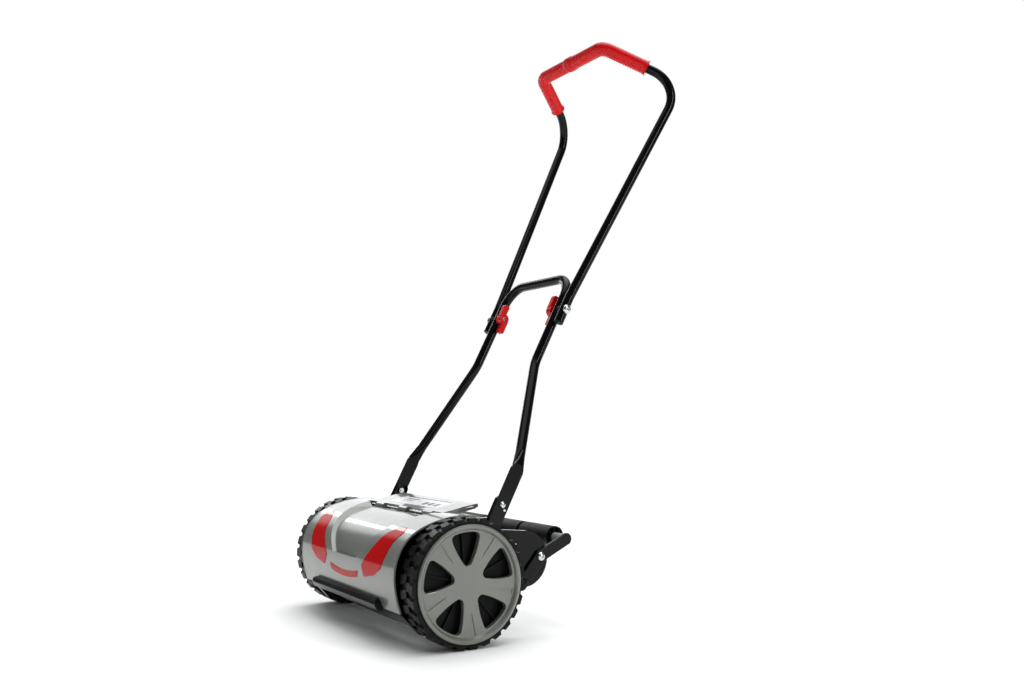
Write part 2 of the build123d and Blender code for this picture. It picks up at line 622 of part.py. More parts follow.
with BuildPart() as centre_outline:
    with BuildSketch(Plane.XZ.offset(-CUT_FROM_Y)) as smile:
        with BuildLine():
            ThreePointArc(*on_front(SMILE_LOW))
            Line(on_front(SMILE_LOW)[2], on_front(SMILE_HIGH)[0])
            ThreePointArc(*on_front(SMILE_HIGH))
            Line(on_front(SMILE_HIGH)[2], on_front(SMILE_LOW)[0])
        make_face()
        fillet(smile.vertices(), radius=2.0)
    extrude(amount=CUT_FROM_Y)
with BuildPart() as centre_pocket:
    with BuildSketch(Plane.XZ.offset(-CUT_FROM_Y)):
        add(smile.sketch.faces()[0])
        offset(amount=FACE_GAP, mode=Mode.REPLACE)
    extrude(amount=CUT_FROM_Y)

side_outline = front_prism(INSERT_OUTLINE, INSERT_CORNER)
side_pocket = front_prism(INSERT_OUTLINE, INSERT_CORNER, FACE_GAP)
insert_shell = hood_block(-INSERT_PROUD, HOOD_HALF, 9) - hood_block(INSERT_DEPTH, HOOD_HALF, 9)
pocket_shell = hood_block(-9, HOOD_HALF, 9) - hood_block(INSERT_DEPTH + FACE_GAP, HOOD_HALF, 9)

FLAP_ROD_Y, FLAP_ROD_Z = 8.0, AXLE_Z + 100.5
FLAP_ROD_RADIUS = 2.5
LUG_WIDTH = 7.0
LUG_DEPTH = 10.0
LUG_HEIGHT = 7.5
HOOD_SCREW_X = PLATE_IN - 6.0
HOOD_SCREW_Y = 36.0
HOOD_SCREW_RADIUS = 2.0
HOOD_BOSS_RADIUS = 4.0
HOOD_BOSS_HEIGHT = 3.0
PLATE_TOP = AXLE_Z + 100.0

with BuildPart() as hood:
    add(skin - core)
    add(side_pocket & pocket_shell, mode=Mode.SUBTRACT)
    add(mirror(side_pocket & pocket_shell, about=Plane.YZ), mode=Mode.SUBTRACT)
    add(centre_pocket.part & pocket_shell, mode=Mode.SUBTRACT)
    with BuildSketch(Plane.XY.offset(AXLE_Z)):
        with Locations((0, SEAM_Y)):
            Rectangle(2 * (FLAP_HALF + FLAP_SIDE_GAP), 90, align=(Align.CENTER, Align.MIN))
    extrude(amount=2 * WHEEL_RADIUS, mode=Mode.SUBTRACT)
    for side in (-1, 1):
        with Locations((side * (FLAP_HALF + FLAP_SIDE_GAP + LUG_WIDTH / 2), FLAP_ROD_Y, FLAP_ROD_Z + 0.5)):
            Box(LUG_WIDTH, LUG_DEPTH, LUG_HEIGHT)
        with Locations((side * FLAP_HALF, FLAP_ROD_Y, FLAP_ROD_Z)):
            Cylinder(FLAP_ROD_RADIUS + SEAT_FIT, 40, rotation=(0, 90, 0), mode=Mode.SUBTRACT)
        with BuildSketch(Plane.XY.offset(PLATE_TOP + FACE_GAP)):
            with Locations((side * HOOD_SCREW_X, HOOD_SCREW_Y)):
                Circle(HOOD_BOSS_RADIUS)
        extrude(amount=HOOD_BOSS_HEIGHT)
        with Locations((side * HOOD_SCREW_X, HOOD_SCREW_Y, PLATE_TOP)):
            Cylinder(HOOD_SCREW_RADIUS + SEAT_FIT, 7, mode=Mode.SUBTRACT)
write(hood.part, "hood")

side_insert = side_outline & insert_shell
write_pair(side_insert, "hood_insert")
write(centre_outline.part & insert_shell, "hood_insert_centre")

# The bumper is a gloss strip along the foot of the hood.
BUMPER_HALF = 146.0 * HOOD_HALF / HOOD_FRONT_X
BUMPER_LOW, BUMPER_HIGH = -54.5, -32.0
BUMPER_SECTION = [
    (-90, -54.5), (-107, -54.5), (-114, -51), (-119, -43), (-119, -41.5), (-117.2, -40.5),
    (-118.6, -39.3), (-116.5, -34.5), (-112, -32), (-90, -32),
]
with BuildPart() as bumper:
    with BuildSketch(Plane.YZ.offset(-BUMPER_HALF)):
        Polygon(*((y, AXLE_Z + rise) for y, rise in BUMPER_SECTION), align=None)
    extrude(amount=2 * BUMPER_HALF)
    with BuildSketch(Plane.XZ.offset(-CUT_FROM_Y)):
        with Locations((0, AXLE_Z + (BUMPER_LOW + BUMPER_HIGH) / 2)):
            RectangleRounded(2 * BUMPER_HALF - 1, BUMPER_HIGH - BUMPER_LOW + 1, 11)
    extrude(amount=-60, mode=Mode.INTERSECT)
    add(hood_block(-FACE_GAP, HOOD_HALF, 30), mode=Mode.SUBTRACT)
write(bumper.part.solids().sort_by(Axis.Y)[0], "front_bumper")

# ---------------------------------------------------------------- side plates
# Pressed steel plates with a turned-in flange; everything on the chassis is fixed to them.
LEG_PITCH = 62.5              # slope of the handle seen from the side, degrees
LEG_RUN = (cos(radians(LEG_PITCH)), sin(radians(LEG_PITCH)))
LEG_SCREW_Y, LEG_SCREW_Z = 98.0, AXLE_Z + 121.0
LEG_SCREW_PITCH = 46.0        # between the two screws of a leg
PIP_ALONG, PIP_ACROSS = -7.0, 7.5
PIP_RADIUS = 1.5
LOBE_Y, LOBE_Z, LOBE_RADIUS = 145.0, AXLE_Z + 23.0, 50.0
PLATE_BOTTOM = AXLE_Z - 88.0
PLATE_BOTTOM_FRONT, PLATE_BOTTOM_REAR = -62.0, 52.0
PLATE_TOP_FRONT = -12.0
PLATE_CORNER = 9.0
EAR_LENGTH = 14.0             # plate above the upper leg screw
EAR_ROOT = 42.0               # below the upper leg screw, where the ear meets the lobe
ARM_PIVOT_Y, ARM_PIVOT_Z = 178.0, AXLE_Z + 26.0
ARM_PIVOT_RADIUS = 4.0
ARM_LOCK_Y, ARM_LOCK_Z = 142.0, AXLE_Z - 16.0
ARM_SWING = 70.0              # how far the roller arms turn down
ARM_LOCK_REACH = hypot(ARM_LOCK_Y - ARM_PIVOT_Y, ARM_LOCK_Z - ARM_PIVOT_Z)
ARM_LOCK_RADIUS = 3.0
LEAF_WIDTH = 27.0
LEAF_THICKNESS = 3.8
LEG_SCREW_RADIUS = 3.0
TIE_RODS = [(-62.0, AXLE_Z + 55.0), (62.0, AXLE_Z + 10.0)]
TIE_ROD_RADIUS = 5.0
TIE_STUD_RADIUS = 3.0
TIE_STUD_LENGTH = 5.0         # proud of the plate
TIE_NUT_HEIGHT = 4.5
NUT_RADIUS = 5.8              # over the corners of an M6 nut, halved
NUT_HEIGHT = 5.0


def leg_point(along, across=0.0):
    """A point beside the handle leg's line in side view, measured from the leg screw."""
    run_y, run_z = LEG_RUN
    return (LEG_SCREW_Y + along * run_y + across * run_z, LEG_SCREW_Z + along * run_z - across * run_y)


def plate_outline(inset):
    """A side plate's outline moved inwards by inset, where its flange begins."""
    front = hood_inset(HOOD_WALL + MOVING_GAP + inset, 10)
    front = [point for point in front if point[0] < -20]
    ear = LEAF_WIDTH / 2 - 1.5 - inset
    ear_foot_along = (PLATE_TOP - inset - LEG_SCREW_Z - ear * LEG_RUN[0]) / LEG_RUN[1]
    with BuildSketch(Plane.YZ.offset(PLATE_OUT - FLANGE_WIDTH)) as outline:
        with BuildLine():
            curve = Spline(*front)
            Polyline(
                curve @ 1,
                (PLATE_TOP_FRONT, PLATE_TOP - inset),
                leg_point(ear_foot_along, -ear),
                leg_point(EAR_LENGTH - inset, -ear),
                leg_point(EAR_LENGTH - inset, ear),
                leg_point(-EAR_ROOT, ear),
                (LOBE_Y, LOBE_Z + LOBE_RADIUS - inset),
            )
            CenterArc((LOBE_Y, LOBE_Z), LOBE_RADIUS - inset, -90, 180)
            Polyline(
                (LOBE_Y, LOBE_Z - LOBE_RADIUS + inset),
                (PLATE_BOTTOM_REAR - inset / 2, PLATE_BOTTOM + inset),
                (PLATE_BOTTOM_FRONT + inset / 2, PLATE_BOTTOM + inset),
                curve @ 0,
            )
        make_face()
        blunt = outline.vertices().filter_by(lambda v: v.Y > PLATE_TOP + 20 or v.Y < PLATE_BOTTOM + inset + 1)
        fillet(blunt, radius=PLATE_CORNER - inset)
    return outline.sketch


lock_slope = degrees(acos((ARM_LOCK_Y - ARM_PIVOT_Y) / ARM_LOCK_REACH))
LOCK_OVERRUN = 3.0            # degrees of slot past each end of the arm's swing
lock_start = 360 - lock_slope - ARM_SWING - LOCK_OVERRUN
lock_path = CenterArc((ARM_PIVOT_Y, ARM_PIVOT_Z), ARM_LOCK_REACH, lock_start, ARM_SWING + 2 * LOCK_OVERRUN)

with BuildPart() as side_plate:
    extrude(plate_outline(0), amount=FLANGE_WIDTH, dir=(1, 0, 0))
    extrude(plate_outline(FLANGE_WALL), amount=FLANGE_WIDTH - PLATE_THICKNESS, dir=(1, 0, 0), mode=Mode.SUBTRACT)
    holes = [
        (AXLE_Y, AXLE_Z, AXLE_RADIUS + SEAT_FIT),
        (REEL_Y, REEL_Z, BEARING_RADIUS + SEAT_FIT),
        (BED_BAR_Y, BED_BAR_Z, BED_BOLT_RADIUS + SEAT_FIT),
        (*leg_point(0), LEG_SCREW_RADIUS + SEAT_FIT),
        (*leg_point(-LEG_SCREW_PITCH), LEG_SCREW_RADIUS + SEAT_FIT),
        (ARM_PIVOT_Y, ARM_PIVOT_Z, ARM_PIVOT_RADIUS + SEAT_FIT),
        *((y, z, TIE_STUD_RADIUS + SEAT_FIT) for y, z in TIE_RODS),
    ]
    for y, z, radius in holes:
        with Locations((PLATE_OUT, y, z)):
            Cylinder(radius, 30, rotation=(0, 90, 0), mode=Mode.SUBTRACT)
    with BuildSketch(Plane.YZ.offset(PLATE_IN - 1)):
        SlotArc(lock_path, 2 * ARM_LOCK_RADIUS + 1.0)
    extrude(amount=PLATE_THICKNESS + 2, mode=Mode.SUBTRACT)
    with Locations((HOOD_SCREW_X, HOOD_SCREW_Y, PLATE_TOP)):
        Cylinder(HOOD_SCREW_RADIUS + SEAT_FIT, 20, mode=Mode.SUBTRACT)
write_pair(side_plate.part, "side_plate")

hood_screw = screw(HOOD_SCREW_X, HOOD_SCREW_Y, PLATE_TOP - FLANGE_WALL, HOOD_SCREW_RADIUS, 5, 3.6, 2, (0, 0, 1))
write(both_sides(hood_screw), "hood_screws")

tie_rods = []
tie_nuts = []
for rod_y, rod_z in TIE_RODS:
    with BuildPart() as tie_rod:
        with BuildSketch(Plane.YZ.offset(-PLATE_IN)):
            with Locations((rod_y, rod_z)):
                Circle(TIE_ROD_RADIUS)
        extrude(amount=2 * PLATE_IN)
        with BuildSketch(Plane.YZ.offset(-PLATE_OUT - TIE_STUD_LENGTH)):
            with Locations((rod_y, rod_z)):
                Circle(TIE_STUD_RADIUS)
        extrude(amount=2 * (PLATE_OUT + TIE_STUD_LENGTH))
    tie_rods += tie_rod.part.solids()
    with BuildPart() as tie_nut:
        with BuildSketch(Plane.YZ.offset(PLATE_OUT)):
            with Locations((rod_y, rod_z)):
                RegularPolygon(NUT_RADIUS, 6)
                Circle(TIE_STUD_RADIUS + SEAT_FIT, mode=Mode.SUBTRACT)
        extrude(amount=TIE_NUT_HEIGHT)
    tie_nuts += both_sides(tie_nut.part).solids()
write(Compound(children=tie_rods), "tie_rods")
write(Compound(children=tie_nuts), "tie_rod_nuts")

# ---------------------------------------------------------------- rear flap
# A lid hinged on a thin rod behind the hood; it lifts so that the reel can be cleaned.
FLAP_WALL = 2.6
FLAP_BARREL = 7.0
FLAP_TIP_Y, FLAP_TIP_Z = 81.0, AXLE_Z + 120.0
BARREL_LENGTH = 34.0
LABEL_HALF_X, LABEL_HALF_Y = 98.0, 21.0
LABEL_THICKNESS = 0.8
flap_front = (FLAP_ROD_Y, FLAP_ROD_Z + FLAP_BARREL)
flap_mid = (44.0, AXLE_Z + 114.0)
with BuildPart() as rear_flap:
    with BuildSketch(Plane.YZ.offset(-FLAP_HALF)):
        with BuildLine():
            top = Spline(flap_front, flap_mid, (FLAP_TIP_Y, FLAP_TIP_Z), tangents=[(1, 0.1), (1, 0.12)])
            Polyline(
                top @ 1,
                (FLAP_TIP_Y + 1.0, FLAP_TIP_Z - 6),
                (FLAP_TIP_Y - 3.0, FLAP_TIP_Z - 6),
                (FLAP_TIP_Y - 5.0, FLAP_TIP_Z - FLAP_WALL - 0.6),
                (flap_mid[0], flap_mid[1] - FLAP_WALL),
                (FLAP_ROD_Y + 6, FLAP_ROD_Z + FLAP_BARREL - FLAP_WALL + 0.5),
                (FLAP_ROD_Y, FLAP_ROD_Z + 3),
                top @ 0,
            )
        make_face()
    extrude(amount=2 * FLAP_HALF)
    for side in (-1, 1):
        with BuildSketch(Plane.YZ.offset(side * (FLAP_HALF - FLAP_WALL / 2))):
            Polygon(
                (FLAP_ROD_Y, FLAP_ROD_Z + 4),
                (flap_mid[0], flap_mid[1] - 9),
                (FLAP_TIP_Y - 6, FLAP_TIP_Z - 9),
                (FLAP_TIP_Y, FLAP_TIP_Z - 5),
                (flap_mid[0], flap_mid[1] - 2),
                (FLAP_ROD_Y, FLAP_ROD_Z + FLAP_BARREL - 0.5),
                align=None,
            )
        extrude(amount=FLAP_WALL / 2, both=True)
    for place in (-2 / 3 * FLAP_HALF, 0, 2 / 3 * FLAP_HALF):
        with Locations((place, FLAP_ROD_Y, FLAP_ROD_Z)):
            Cylinder(FLAP_BARREL, BARREL_LENGTH, rotation=(0, 90, 0))
    with Locations((0, FLAP_ROD_Y, FLAP_ROD_Z)):
        Cylinder(FLAP_ROD_RADIUS + RUNNING_FIT, 3 * FLAP_HALF, rotation=(0, 90, 0), mode=Mode.SUBTRACT)
    with BuildSketch(Plane.XY.offset(FLAP_TIP_Z + 5)):
        with Locations((0, flap_mid[0])):
            RectangleRounded(2 * LABEL_HALF_X, 2 * LABEL_HALF_Y, 5)
    label_column = extrude(amount=-30, mode=Mode.PRIVATE)
lid = rear_flap.part
write(lid - (label_column - lid.moved(Location((0, 0, -LABEL_THICKNESS - FACE_GAP)))), "rear_flap")
label = (label_column & lid) - lid.moved(Location((0, 0, -LABEL_THICKNESS)))
write(label.solids().sort_by(SortBy.VOLUME)[-1], "flap_label")

flap_rod_end = FLAP_HALF + FLAP_SIDE_GAP + LUG_WIDTH - 0.5
flap_rod = rod(-flap_rod_end, flap_rod_end, FLAP_ROD_Y, FLAP_ROD_Z, FLAP_ROD_RADIUS)
write(flap_rod, "flap_rod")

# ---------------------------------------------------------------- lower handle
# One tube: two legs flattened at their feet, kinked inwards, joined by an arch above the handle bolts.
KINK_Y, KINK_Z = 232.0, AXLE_Z + 380.0
KINK_BEND = 70.0
ARCH_BEND = 46.0
LEAF_FOOT = -59.0             # along the leg from its upper screw
LEAF_TOP = 72.0
NECK_LENGTH = 34.0            # where the flat leaf swells into the round tube
BOLT_RISE = 118.0             # handle bolt above the kink, along the leg
ARCH_RISE = 196.0
LEAF_X = PLATE_OUT + FACE_GAP + LEAF_THICKNESS / 2
BOLT_RADIUS = 4.0
BOLT_Y = KINK_Y + BOLT_RISE * LEG_RUN[0]
BOLT_Z = KINK_Z + BOLT_RISE * LEG_RUN[1]

leaf_top_y, leaf_top_z = leg_point(LEAF_TOP)
leaf_top = Vector(LEAF_X, leaf_top_y, leaf_top_z)
kink = Vector(LEG_SPREAD, KINK_Y, KINK_Z)
neck_top = leaf_top + (kink - leaf_top).normalized() * NECK_LENGTH
arch_corner = kink + Vector(0, *LEG_RUN) * ARCH_RISE
leg_route = [neck_top, kink, arch_corner]
far_route = [Vector(-p.X, p.Y, p.Z) for p in reversed(leg_route)]
with BuildPart() as lower_handle:
    with BuildLine() as leg_line:
        FilletPolyline(*leg_route, *far_route, radius=[KINK_BEND, ARCH_BEND, ARCH_BEND, KINK_BEND])
    with BuildSketch(leg_line.line ^ 0):
        Circle(TUBE_RADIUS)
        Circle(TUBE_RADIUS - TUBE_WALL, mode=Mode.SUBTRACT)
    sweep()
    for side in (-1, 1):
        leaf_end = Plane(
            origin=(side * leaf_top.X, leaf_top.Y, leaf_top.Z), x_dir=(0, LEG_RUN[1], -LEG_RUN[0]), z_dir=(0, *LEG_RUN)
        )
        neck_end = Plane(
            origin=(side * neck_top.X, neck_top.Y, neck_top.Z),
            x_dir=(0, LEG_RUN[1], -LEG_RUN[0]),
            z_dir=(side * (kink - leaf_top).X, (kink - leaf_top).Y, (kink - leaf_top).Z),
        )
        with BuildSketch(leaf_end):
            Ellipse(LEAF_WIDTH / 2, LEAF_THICKNESS / 2)
        with BuildSketch(neck_end):
            Circle(TUBE_RADIUS)
        loft()
        with BuildSketch(Plane.YZ.offset(side * LEAF_X)):
            with Locations(leg_point((LEAF_TOP + LEAF_FOOT) / 2)):
                SlotOverall(LEAF_TOP - LEAF_FOOT + LEAF_WIDTH / 2, LEAF_WIDTH, rotation=LEG_PITCH)
        extrude(amount=LEAF_THICKNESS / 2, both=True)
        leaf_holes = [
            (leg_point(0), LEG_SCREW_RADIUS),
            (leg_point(-LEG_SCREW_PITCH), LEG_SCREW_RADIUS),
            (leg_point(PIP_ALONG, PIP_ACROSS), PIP_RADIUS),
        ]
        for place, radius in leaf_holes:
            with Locations((side * LEAF_X, *place)):
                Cylinder(radius + SEAT_FIT, 3 * LEAF_THICKNESS, rotation=(0, 90, 0), mode=Mode.SUBTRACT)
        with Locations((side * LEG_SPREAD, BOLT_Y, BOLT_Z)):
            Cylinder(BOLT_RADIUS + SEAT_FIT, 40, rotation=(0, 90, 0), mode=Mode.SUBTRACT)
write(lower_handle.part, "lower_handle")

leg_screws = []
leg_nuts = []
for along in (0, -LEG_SCREW_PITCH):
    screw_y, screw_z = leg_point(along)
    seat_x = LEAF_X + LEAF_THICKNESS / 2
    leg_screws += both_sides(screw(seat_x, screw_y, screw_z, LEG_SCREW_RADIUS, 14, 6, 3, (-1, 0, 0))).solids()
    with BuildPart() as leg_nut:
        with BuildSketch(Plane.YZ.offset(PLATE_IN - NUT_HEIGHT)):
            with Locations((screw_y, screw_z)):
                RegularPolygon(NUT_RADIUS, 6)
                Circle(LEG_SCREW_RADIUS + SEAT_FIT, mode=Mode.SUBTRACT)
        extrude(amount=NUT_HEIGHT)
    leg_nuts += both_sides(leg_nut.part).solids()
write(Compound(children=leg_screws), "leg_screws")
write(Compound(children=leg_nuts), "leg_nuts")
pip_y, pip_z = leg_point(PIP_ALONG, PIP_ACROSS)
leg_pip = screw(LEAF_X + LEAF_THICKNESS / 2, pip_y, pip_z, PIP_RADIUS, LEAF_THICKNESS, 2.6, 1.2, (-1, 0, 0))
write(both_sides(leg_pip), "leg_locating_pips")

# ---------------------------------------------------------------- upper handle
# A second bent tube outside the legs.  It turns on the two bolts when the wing knobs are slackened.
JOINT_GAP = 2.0               # between the two tubes, filled by a shaped washer
SADDLE_GAP = 0.3              # between that washer and the leg
SADDLE_WIDTH = 6.0
UPPER_SPREAD = LEG_SPREAD + 2 * TUBE_RADIUS + JOINT_GAP
TAIL_LENGTH = 28.0            # below the bolt
TOP_Y, TOP_Z, TOP_SPREAD = 540.0, AXLE_Z + 960.0, 197.0
GRIP_Y, GRIP_Z, GRIP_SPREAD = 404.0, AXLE_Z + 1039.0, 110.0
GRIP_REACH = 97.0             # from the corner down the side of the handle
TAIL_BEND = 60.0
TOP_BEND = 62.0
GRIP_BEND = 27.0
GRIP_COLLAR = 1.8             # raised ring where the two grips meet
GRIP_COLLAR_WIDTH = 8.0
GRIP_FLARE = 5.0              # length of the flared lower end
PLUG_DEPTH = 12.0
PLUG_CAP = 2.5

tail = Vector(UPPER_SPREAD, BOLT_Y - TAIL_LENGTH * LEG_RUN[0], BOLT_Z - TAIL_LENGTH * LEG_RUN[1])
tail_run = Vector(UPPER_SPREAD, BOLT_Y + TAIL_LENGTH * LEG_RUN[0], BOLT_Z + TAIL_LENGTH * LEG_RUN[1])
shoulder = Vector(TOP_SPREAD, TOP_Y, TOP_Z)
corner = Vector(GRIP_SPREAD, GRIP_Y, GRIP_Z)
upper_route = [tail, tail_run, shoulder, corner]
upper_far = [Vector(-p.X, p.Y, p.Z) for p in reversed(upper_route)]
upper_radii = [TAIL_BEND, TOP_BEND, GRIP_BEND, GRIP_BEND, TOP_BEND, TAIL_BEND]
with BuildPart() as upper_handle:
    with BuildLine() as upper_line:
        FilletPolyline(*upper_route, *upper_far, radius=upper_radii)
    with BuildSketch(upper_line.line ^ 0):
        Circle(TUBE_RADIUS)
        Circle(TUBE_RADIUS - TUBE_WALL, mode=Mode.SUBTRACT)
    sweep()
    for side in (-1, 1):
        with Locations((side * UPPER_SPREAD, BOLT_Y, BOLT_Z)):
            Cylinder(BOLT_RADIUS + RUNNING_FIT, 40, rotation=(0, 90, 0), mode=Mode.SUBTRACT)
write(upper_handle.part, "upper_handle")

with BuildPart() as plug:
    with BuildSketch(Plane(origin=tail, z_dir=(0, *LEG_RUN))):
        Circle(TUBE_RADIUS - TUBE_WALL - SEAT_FIT)
    extrude(amount=PLUG_DEPTH)
    with BuildSketch(Plane(origin=tail, z_dir=(0, *LEG_RUN))):
        Circle(TUBE_RADIUS)
    extrude(amount=-PLUG_CAP)
    fillet(plug.faces().sort_by(Axis(tail, (0, *LEG_RUN)))[0].edges(), radius=1.5)
write(both_sides(plug.part), "tube_plugs")

grip_end = corner + (shoulder - corner).normalized() * GRIP_REACH
grip_lip = corner + (shoulder - corner).normalized() * (GRIP_REACH + GRIP_FLARE)
with BuildPart() as grip:
    with BuildLine() as grip_line:
        FilletPolyline(Vector(0.3, GRIP_Y, GRIP_Z), corner, grip_end, radius=GRIP_BEND)
    with BuildSketch(grip_line.line ^ 0):
        Circle(GRIP_RADIUS)
    sweep()
    with BuildSketch(grip_line.line ^ 0):
        Circle(GRIP_RADIUS + GRIP_COLLAR)
    extrude(amount=GRIP_COLLAR_WIDTH)
    with BuildSketch(grip_line.line ^ 1):
        Circle(GRIP_RADIUS)
    extrude(amount=GRIP_FLARE, taper=-25)
    with BuildLine(mode=Mode.PRIVATE) as bore_line:
        FilletPolyline(Vector(-2, GRIP_Y, GRIP_Z), corner, grip_lip + (grip_lip - grip_end), radius=GRIP_BEND)
    with BuildSketch(bore_line.line ^ 0):
        Circle(TUBE_RADIUS + SEAT_FIT)
    sweep(path=bore_line.line, mode=Mode.SUBTRACT)
write_pair(grip.part, "grip")

# Shaped washers between the tubes: hollowed towards the upper tube, flat towards the leg.
with BuildPart() as saddle:
    with BuildSketch(Plane.YZ.offset(LEG_SPREAD + TUBE_RADIUS + SADDLE_GAP)):
        with Locations((BOLT_Y, BOLT_Z)):
            Circle(TUBE_RADIUS)
            Circle(BOLT_RADIUS + RUNNING_FIT, mode=Mode.SUBTRACT)
    extrude(amount=SADDLE_WIDTH)
    with BuildSketch(Plane(origin=tail, z_dir=(0, *LEG_RUN))):
        Circle(TUBE_RADIUS + SEAT_FIT)
    extrude(amount=2 * TAIL_LENGTH, mode=Mode.SUBTRACT)
saddle_ring = saddle.part.solids().sort_by(Axis.X)[0]
write(both_sides(Part() + saddle_ring), "saddle_washers")

# Carriage bolts through both tubes, and the S-shaped wing knobs that clamp them from the inside.
KNOB_LENGTH = 15.0
KNOB_HUB_RADIUS = 11.5
WING_REACH = 31.0
WING_WIDTH = 13.0
WING_THICKNESS = 11.0
WING_CORNER = 4.5
BOLT_HEAD_RADIUS = 9.0
BOLT_HEAD_HEIGHT = 4.5
knob_out = LEG_SPREAD - TUBE_RADIUS - MOVING_GAP
knob_in = knob_out - KNOB_LENGTH
bolt_seat = UPPER_SPREAD + TUBE_RADIUS + MOVING_GAP
bolt_length = bolt_seat - knob_in - 2
handle_bolt = screw(
    bolt_seat, BOLT_Y, BOLT_Z, BOLT_RADIUS, bolt_length, BOLT_HEAD_RADIUS, BOLT_HEAD_HEIGHT, (-1, 0, 0)
)
write(both_sides(handle_bolt), "handle_bolts")

with BuildPart() as wing_knob:
    with BuildSketch(Plane.YZ.offset(knob_in)):
        with Locations((BOLT_Y, BOLT_Z)):
            Circle(KNOB_HUB_RADIUS)
    extrude(amount=KNOB_LENGTH)
    for end in (0, 180):
        turn = LEG_PITCH + end
        side_y, side_z = polar(0, 0, WING_WIDTH / 2 - 1.0, turn + 90)
        mid_y, mid_z = polar(BOLT_Y + side_y, BOLT_Z + side_z, WING_REACH / 2, turn)
        with BuildSketch(Plane.YZ.offset(knob_in)):
            with Locations(Location((mid_y, mid_z), turn)):
                RectangleRounded(WING_REACH, WING_WIDTH, WING_CORNER)
        extrude(amount=WING_THICKNESS)
    outer_edges = wing_knob.faces().sort_by(Axis.X)[0].edges()
    fillet(outer_edges, radius=1.5)
    with Locations((knob_in, BOLT_Y, BOLT_Z)):
        Cylinder(BOLT_RADIUS + RUNNING_FIT, 60, rotation=(0, 90, 0), mode=Mode.SUBTRACT)
write_pair(wing_knob.part, "wing_knob")

# ---------------------------------------------------------------- rear roller
# Dog-leg arms outside the side plates carry the roller; a second screw in each plate's curved slot
# locks the cutting height.
ARM_WIDTH = 22.0
ARM_THICKNESS = 5.0
ARM_CAP = 1.4                 # arm left over the end of the roller's axle
ROLLER_Y, ROLLER_Z = 235.0, AXLE_Z + 53.0
PIVOT_NUT_RADIUS = 7.0
LOCK_NUT_RADIUS = 6.5
ROLLER_AXLE_RADIUS = 5.0
ARM_IN = PLATE_OUT + MOVING_GAP
ARM_OUT = ARM_IN + ARM_THICKNESS
ARM_BEND_LOW = (ARM_LOCK_Y - 4.0, ARM_LOCK_Z - 5.0)


def arm_limb(start, end):
    """Place of the round-ended limb between two points: its middle, length and slope."""
    run_y, run_z = end[0] - start[0], end[1] - start[1]
    slope = degrees(acos(run_y / hypot(run_y, run_z)))
    return Location(((start[0] + end[0]) / 2, (start[1] + end[1]) / 2), slope), hypot(run_y, run_z)


with BuildPart() as roller_arm:
    with BuildSketch(Plane.YZ.offset(ARM_IN)):
        for start, end in (
            ((ARM_PIVOT_Y, ARM_PIVOT_Z), (ROLLER_Y, ROLLER_Z)),
            (ARM_BEND_LOW, (ARM_PIVOT_Y, ARM_PIVOT_Z)),
        ):
            place, length = arm_limb(start, end)
            with Locations(place):
                SlotCenterToCenter(length, ARM_WIDTH)
    extrude(amount=ARM_THICKNESS)
    fillet(roller_arm.faces().sort_by(Axis.X)[-1].edges(), radius=1.2)
    with Locations((ARM_IN, ARM_LOCK_Y, ARM_LOCK_Z)):
        Cylinder(ARM_LOCK_RADIUS + SEAT_FIT, 30, rotation=(0, 90, 0), mode=Mode.SUBTRACT)
    with Locations((ARM_IN, ARM_PIVOT_Y, ARM_PIVOT_Z)):
        Cylinder(ARM_PIVOT_RADIUS + RUNNING_FIT, 30, rotation=(0, 90, 0), mode=Mode.SUBTRACT)
    with BuildSketch(Plane.YZ.offset(ARM_IN)):
        with Locations((ROLLER_Y, ROLLER_Z)):
            Circle(ROLLER_AXLE_RADIUS + SEAT_FIT)
    extrude(amount=ARM_THICKNESS - ARM_CAP, mode=Mode.SUBTRACT)
write_pair(roller_arm.part, "roller_arm")

pivot_screw = screw(ARM_OUT + MOVING_GAP, ARM_PIVOT_Y, ARM_PIVOT_Z, ARM_PIVOT_RADIUS, 16, 8.0, 4.5, (-1, 0, 0))
write(both_sides(pivot_screw), "arm_pivot_screws")
lock_screw = screw(ARM_OUT, ARM_LOCK_Y, ARM_LOCK_Z, ARM_LOCK_RADIUS, 16, 6.5, 3.5, (-1, 0, 0))
write(both_sides(lock_screw), "arm_lock_screws")
lock_nut = rod(
    PLATE_IN - MOVING_GAP - NUT_HEIGHT,
    PLATE_IN - MOVING_GAP,
    ARM_LOCK_Y,
    ARM_LOCK_Z,
    LOCK_NUT_RADIUS,
    ARM_LOCK_RADIUS + SEAT_FIT,
)
pivot_nut = rod(
    PLATE_IN - NUT_HEIGHT, PLATE_IN, ARM_PIVOT_Y, ARM_PIVOT_Z, PIVOT_NUT_RADIUS, ARM_PIVOT_RADIUS + SEAT_FIT
)
write(both_sides(lock_nut), "arm_lock_nuts")
write(both_sides(pivot_nut), "arm_pivot_nuts")
axle_end = ARM_OUT - ARM_CAP - FACE_GAP
write(rod(-axle_end, axle_end, ROLLER_Y, ROLLER_Z, ROLLER_AXLE_RADIUS), "roller_axle")

SPACER_RADIUS = 8.5
ROLLER_HALF = PLATE_OUT - 33.0
ROLLER_LENGTH = 2 * ROLLER_HALF
spacer = rod(ROLLER_HALF + MOVING_GAP, ARM_IN, ROLLER_Y, ROLLER_Z, SPACER_RADIUS, ROLLER_AXLE_RADIUS + SEAT_FIT)
write(both_sides(spacer), "roller_spacers")

